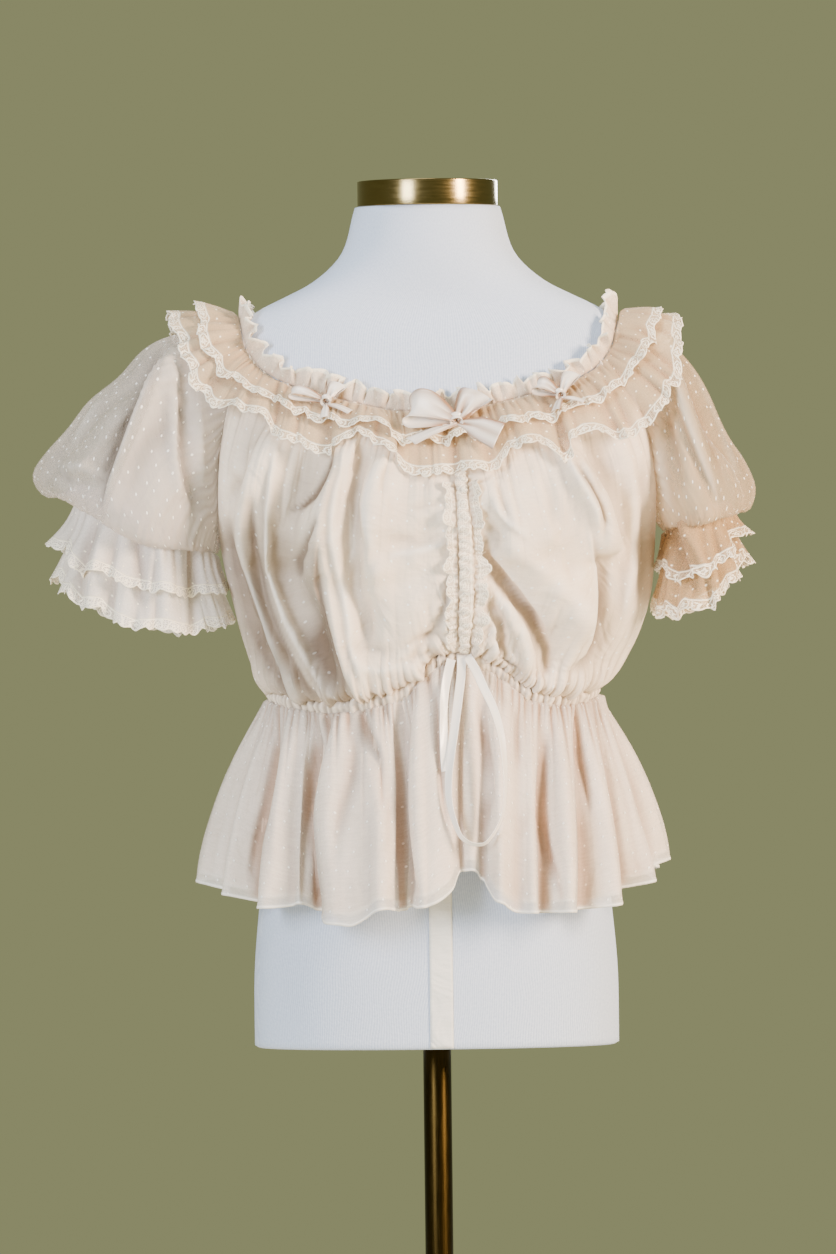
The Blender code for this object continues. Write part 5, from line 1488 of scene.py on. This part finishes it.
# each bow: how far it hangs below its CAD knot, half of the knot across, the knot's width, two
# loops, with length, width, tilt up and shade, two tails, with how far their ends lie to the
# right and up, width, turn on the length and shade, and the ribbon's flat size
BOWS = {
    "bow_left": (
        5, 3.0, 6,
        ((31, 10, 4, 0.15), (24, 13, 64, 0.05)),
        ((1, -20, 9, 20, 0.1), (24, -7, 14, -20, 0.35)),
        (0.013, 0.16),
    ),
    "bow_centre": (
        7, 4.2, 9,
        ((40, 31, 16, 0.05), (37, 28, 44, 0.42)),
        ((-43, -19, 19, 14, 0.0), (35, -25, 27, 30, 0.6)),
        (0.024, 0.22),
    ),
    "bow_right": (
        9, 3.0, 6,
        ((22, 14, 34, 0.3), (31, 13, 52, 0.05)),
        ((-9, -17, 11, 30, 0.5), (20, -10, 10, -20, 0.2)),
        (0.013, 0.14),
    ),
}
upper_tier = face_grid("neck_ruffle_upper", 3, 84, True, 1.0 * MM)


def bow_loop(name, centre, away, wide, out, length, width, shade):
    """A loop of ribbon from the knot away and back to it; wide is across the ribbon."""
    knots = np.linspace(0, 1, len(BOW_LOOP))
    reach, front, share, twist = through(BOW_LOOP, knots, LOOP_STEPS).T
    path = centre + (
        away * (length * reach * MM)[:, None]
        + out * (front * (0.6 + width / 55) * MM)[:, None]
        + wide * (twist * width * 0.4 * MM)[:, None]
    )
    across = wide + 0.25 * out * np.sin(2 * math.pi * LOOP_STEPS)[:, None]
    # painted shade near the knot, and on the half of the loop that turns away from the light
    near_knot = np.clip(1 - reach / 0.75, 0, 1)
    turned_away = np.clip(LOOP_STEPS * 2.4 - 1.5, 0, 1)
    return ribbon_strip(
        name, path, across, share * width * MM, 0.4 * MM,
        cup=width * 0.16 * MM * reach, pleat=width * 0.075 * MM * near_knot,
        fold=shade + near_knot**1.3 + 0.5 * turned_away, rim=0.5,
    )


def bow_tail(name, centre, end, up, right, out, width, turn, shade):
    """A tail of ribbon from the knot to its cut end, turned on its length by some degrees."""
    bend = centre + (end - centre) * 0.5 + out * 1.6 * MM
    path = through([centre - up * MM, bend, end], [0, 0.5, 1], TAIL_STEPS)
    across = np.cross(end - centre, out)
    across = unit(across * np.sign(across @ right))
    across = across * math.cos(math.radians(turn)) + out * math.sin(math.radians(turn))
    widths = np.interp(TAIL_STEPS, [0, 0.5, 1], [0.28, 0.8, 1]) * width * MM
    # painted shade, deepest where the tail leaves the knot, plus the tail's own shade
    return ribbon_strip(
        name, path, across, widths, 0.4 * MM, 1.2 * MM, pleat=0.7 * MM * (1 - TAIL_STEPS),
        fold=np.interp(TAIL_STEPS, [0, 0.4, 1], [0.9, 0.1, 0]) + shade, rim=0.35,
    )


def bow(name, drop, knot_half, knot_width, loops, tails, flat):
    # the slope of the ruffle under the bow
    points = np.array([v.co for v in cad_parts[name].data.vertices])
    near = np.linalg.norm(upper_tier - np.median(points, 0), axis=-1)
    column = np.argmin(near) % near.shape[1]
    up = unit(upper_tier[0, column] - upper_tier[1, column])
    right = unit(upper_tier[1, (column + 2) % near.shape[1]] - upper_tier[1, column - 2])
    right = right * np.sign(right[0])
    right = unit(right - up * (right @ up))
    out = np.cross(right, up)
    # the knot lies in the middle of the CAD bow
    along = points @ right
    in_knot = np.abs(along - (along.min() + along.max()) / 2) < 12 * MM
    centre = np.median(points[in_knot], 0) - up * drop * MM
    made = []
    for side, (length, width, tilt, shade), tail in zip((-1, 1), loops, tails):
        tilt = math.radians(tilt)
        away = right * side * math.cos(tilt) + up * math.sin(tilt)
        wide = up * math.cos(tilt) - right * side * math.sin(tilt)
        made.append(bow_loop(f"{name}_loop_{side}", centre, away, wide, out, length, width, shade))
        end = centre + right * tail[0] * MM + up * tail[1] * MM - out * 1.2 * MM
        made.append(bow_tail(f"{name}_tail_{side}", centre, end, up, right, out, *tail[2:]))
    turn = np.linspace(0, 2 * math.pi, 25)[:, None]
    path = centre + (right * knot_half * np.cos(turn) + out * (2.2 + 3.4 * np.sin(turn))) * MM
    # the knot's last size, 0.25, is painted shade all over it
    sizes = (knot_width * MM, 0.4 * MM, 1.0 * MM, 0.5 * MM, 0.25)
    made.append(ribbon_strip(f"{name}_knot", path, up, *sizes))
    only(made[0])
    for piece in made:
        piece.select_set(True)
    bpy.ops.object.join()
    piece = bpy.context.object
    piece.name = name + "_ribbon"
    sewn(piece, name, flat)


for bow_name, settings in BOWS.items():
    bow(bow_name, *settings)

# %% [markdown]
# ## Light and floor
# The key light is a tall soft box at the front right, warm like a window in the afternoon; a
# weaker, cooler one fills from the front left. One behind lights the cloth's edges, and one above
# lifts the shoulders. The world gives a plain sage ground and fills the folds. The floor is a
# painted disc, half a millimetre below the base plate.
# %% Light, world and floor
WORLD_COLOUR = "#A0A376"
CHEST = (0, 0, 0.9)

world = bpy.data.worlds.new("sage")
world.use_nodes = True
ground = world.node_tree.nodes["Background"]
ground.inputs["Color"].default_value = linear(WORLD_COLOUR)
ground.inputs["Strength"].default_value = 0.72
bpy.context.scene.world = world


def softbox(name, place, aim, size, power, colour):
    light = bpy.data.lights.new(name, "AREA")
    light.shape = "RECTANGLE"
    light.size, light.size_y = size
    light.energy = power
    light.color = linear(colour)[:3]
    lamp = bpy.data.objects.new(name, light)
    lamp.location = place
    toward = np.array(aim) - np.array(place)
    yaw = math.atan2(toward[1], toward[0]) - math.pi / 2
    pitch = math.atan2(toward[2], math.hypot(toward[0], toward[1])) + math.pi / 2
    lamp.rotation_euler = (pitch, 0, yaw)
    bpy.context.scene.collection.objects.link(lamp)


softbox("key", (2.5, -1.7, 1.7), CHEST, (0.6, 1.4), 275, "#FFE2C6")
softbox("fill", (-1.8, -2.8, 1.5), CHEST, (0.9, 1.3), 135, "#F2F5FF")
softbox("rear", (0.9, 2.9, 1.9), CHEST, (1.2, 1.2), 90, "#FFFFFF")
softbox("top", (-0.3, -0.7, 3.0), (0, 0, 1.0), (1.0, 1.0), 28, "#FFFFFF")

bpy.ops.object.select_all(action="DESELECT")
bpy.ops.mesh.primitive_circle_add(vertices=96, radius=3.0, fill_type="NGON", location=(0, 0, 0))
floor = bpy.context.object
floor.name = "floor"
bpy.ops.object.mode_set(mode="EDIT")
bpy.ops.mesh.select_all(action="SELECT")
bpy.ops.transform.translate(value=(0, 0, -0.0005))
bpy.ops.object.mode_set(mode="OBJECT")
floor_paint, node, shader = new_material("painted_floor")
floor_place = node("TexCoord", out="Object")
floor_noise = node("TexNoise", {"Vector": floor_place, "Scale": 40, "Detail": 3})
floor_tones = {0: floor_noise, 6: "#C9C8B4", 7: "#CFCEBB"}
shader(Roughness=0.9, Base_Color=node("Mix", floor_tones, **COLOURS))
floor.data.materials.append(floor_paint)
print("lights and floor are in place")
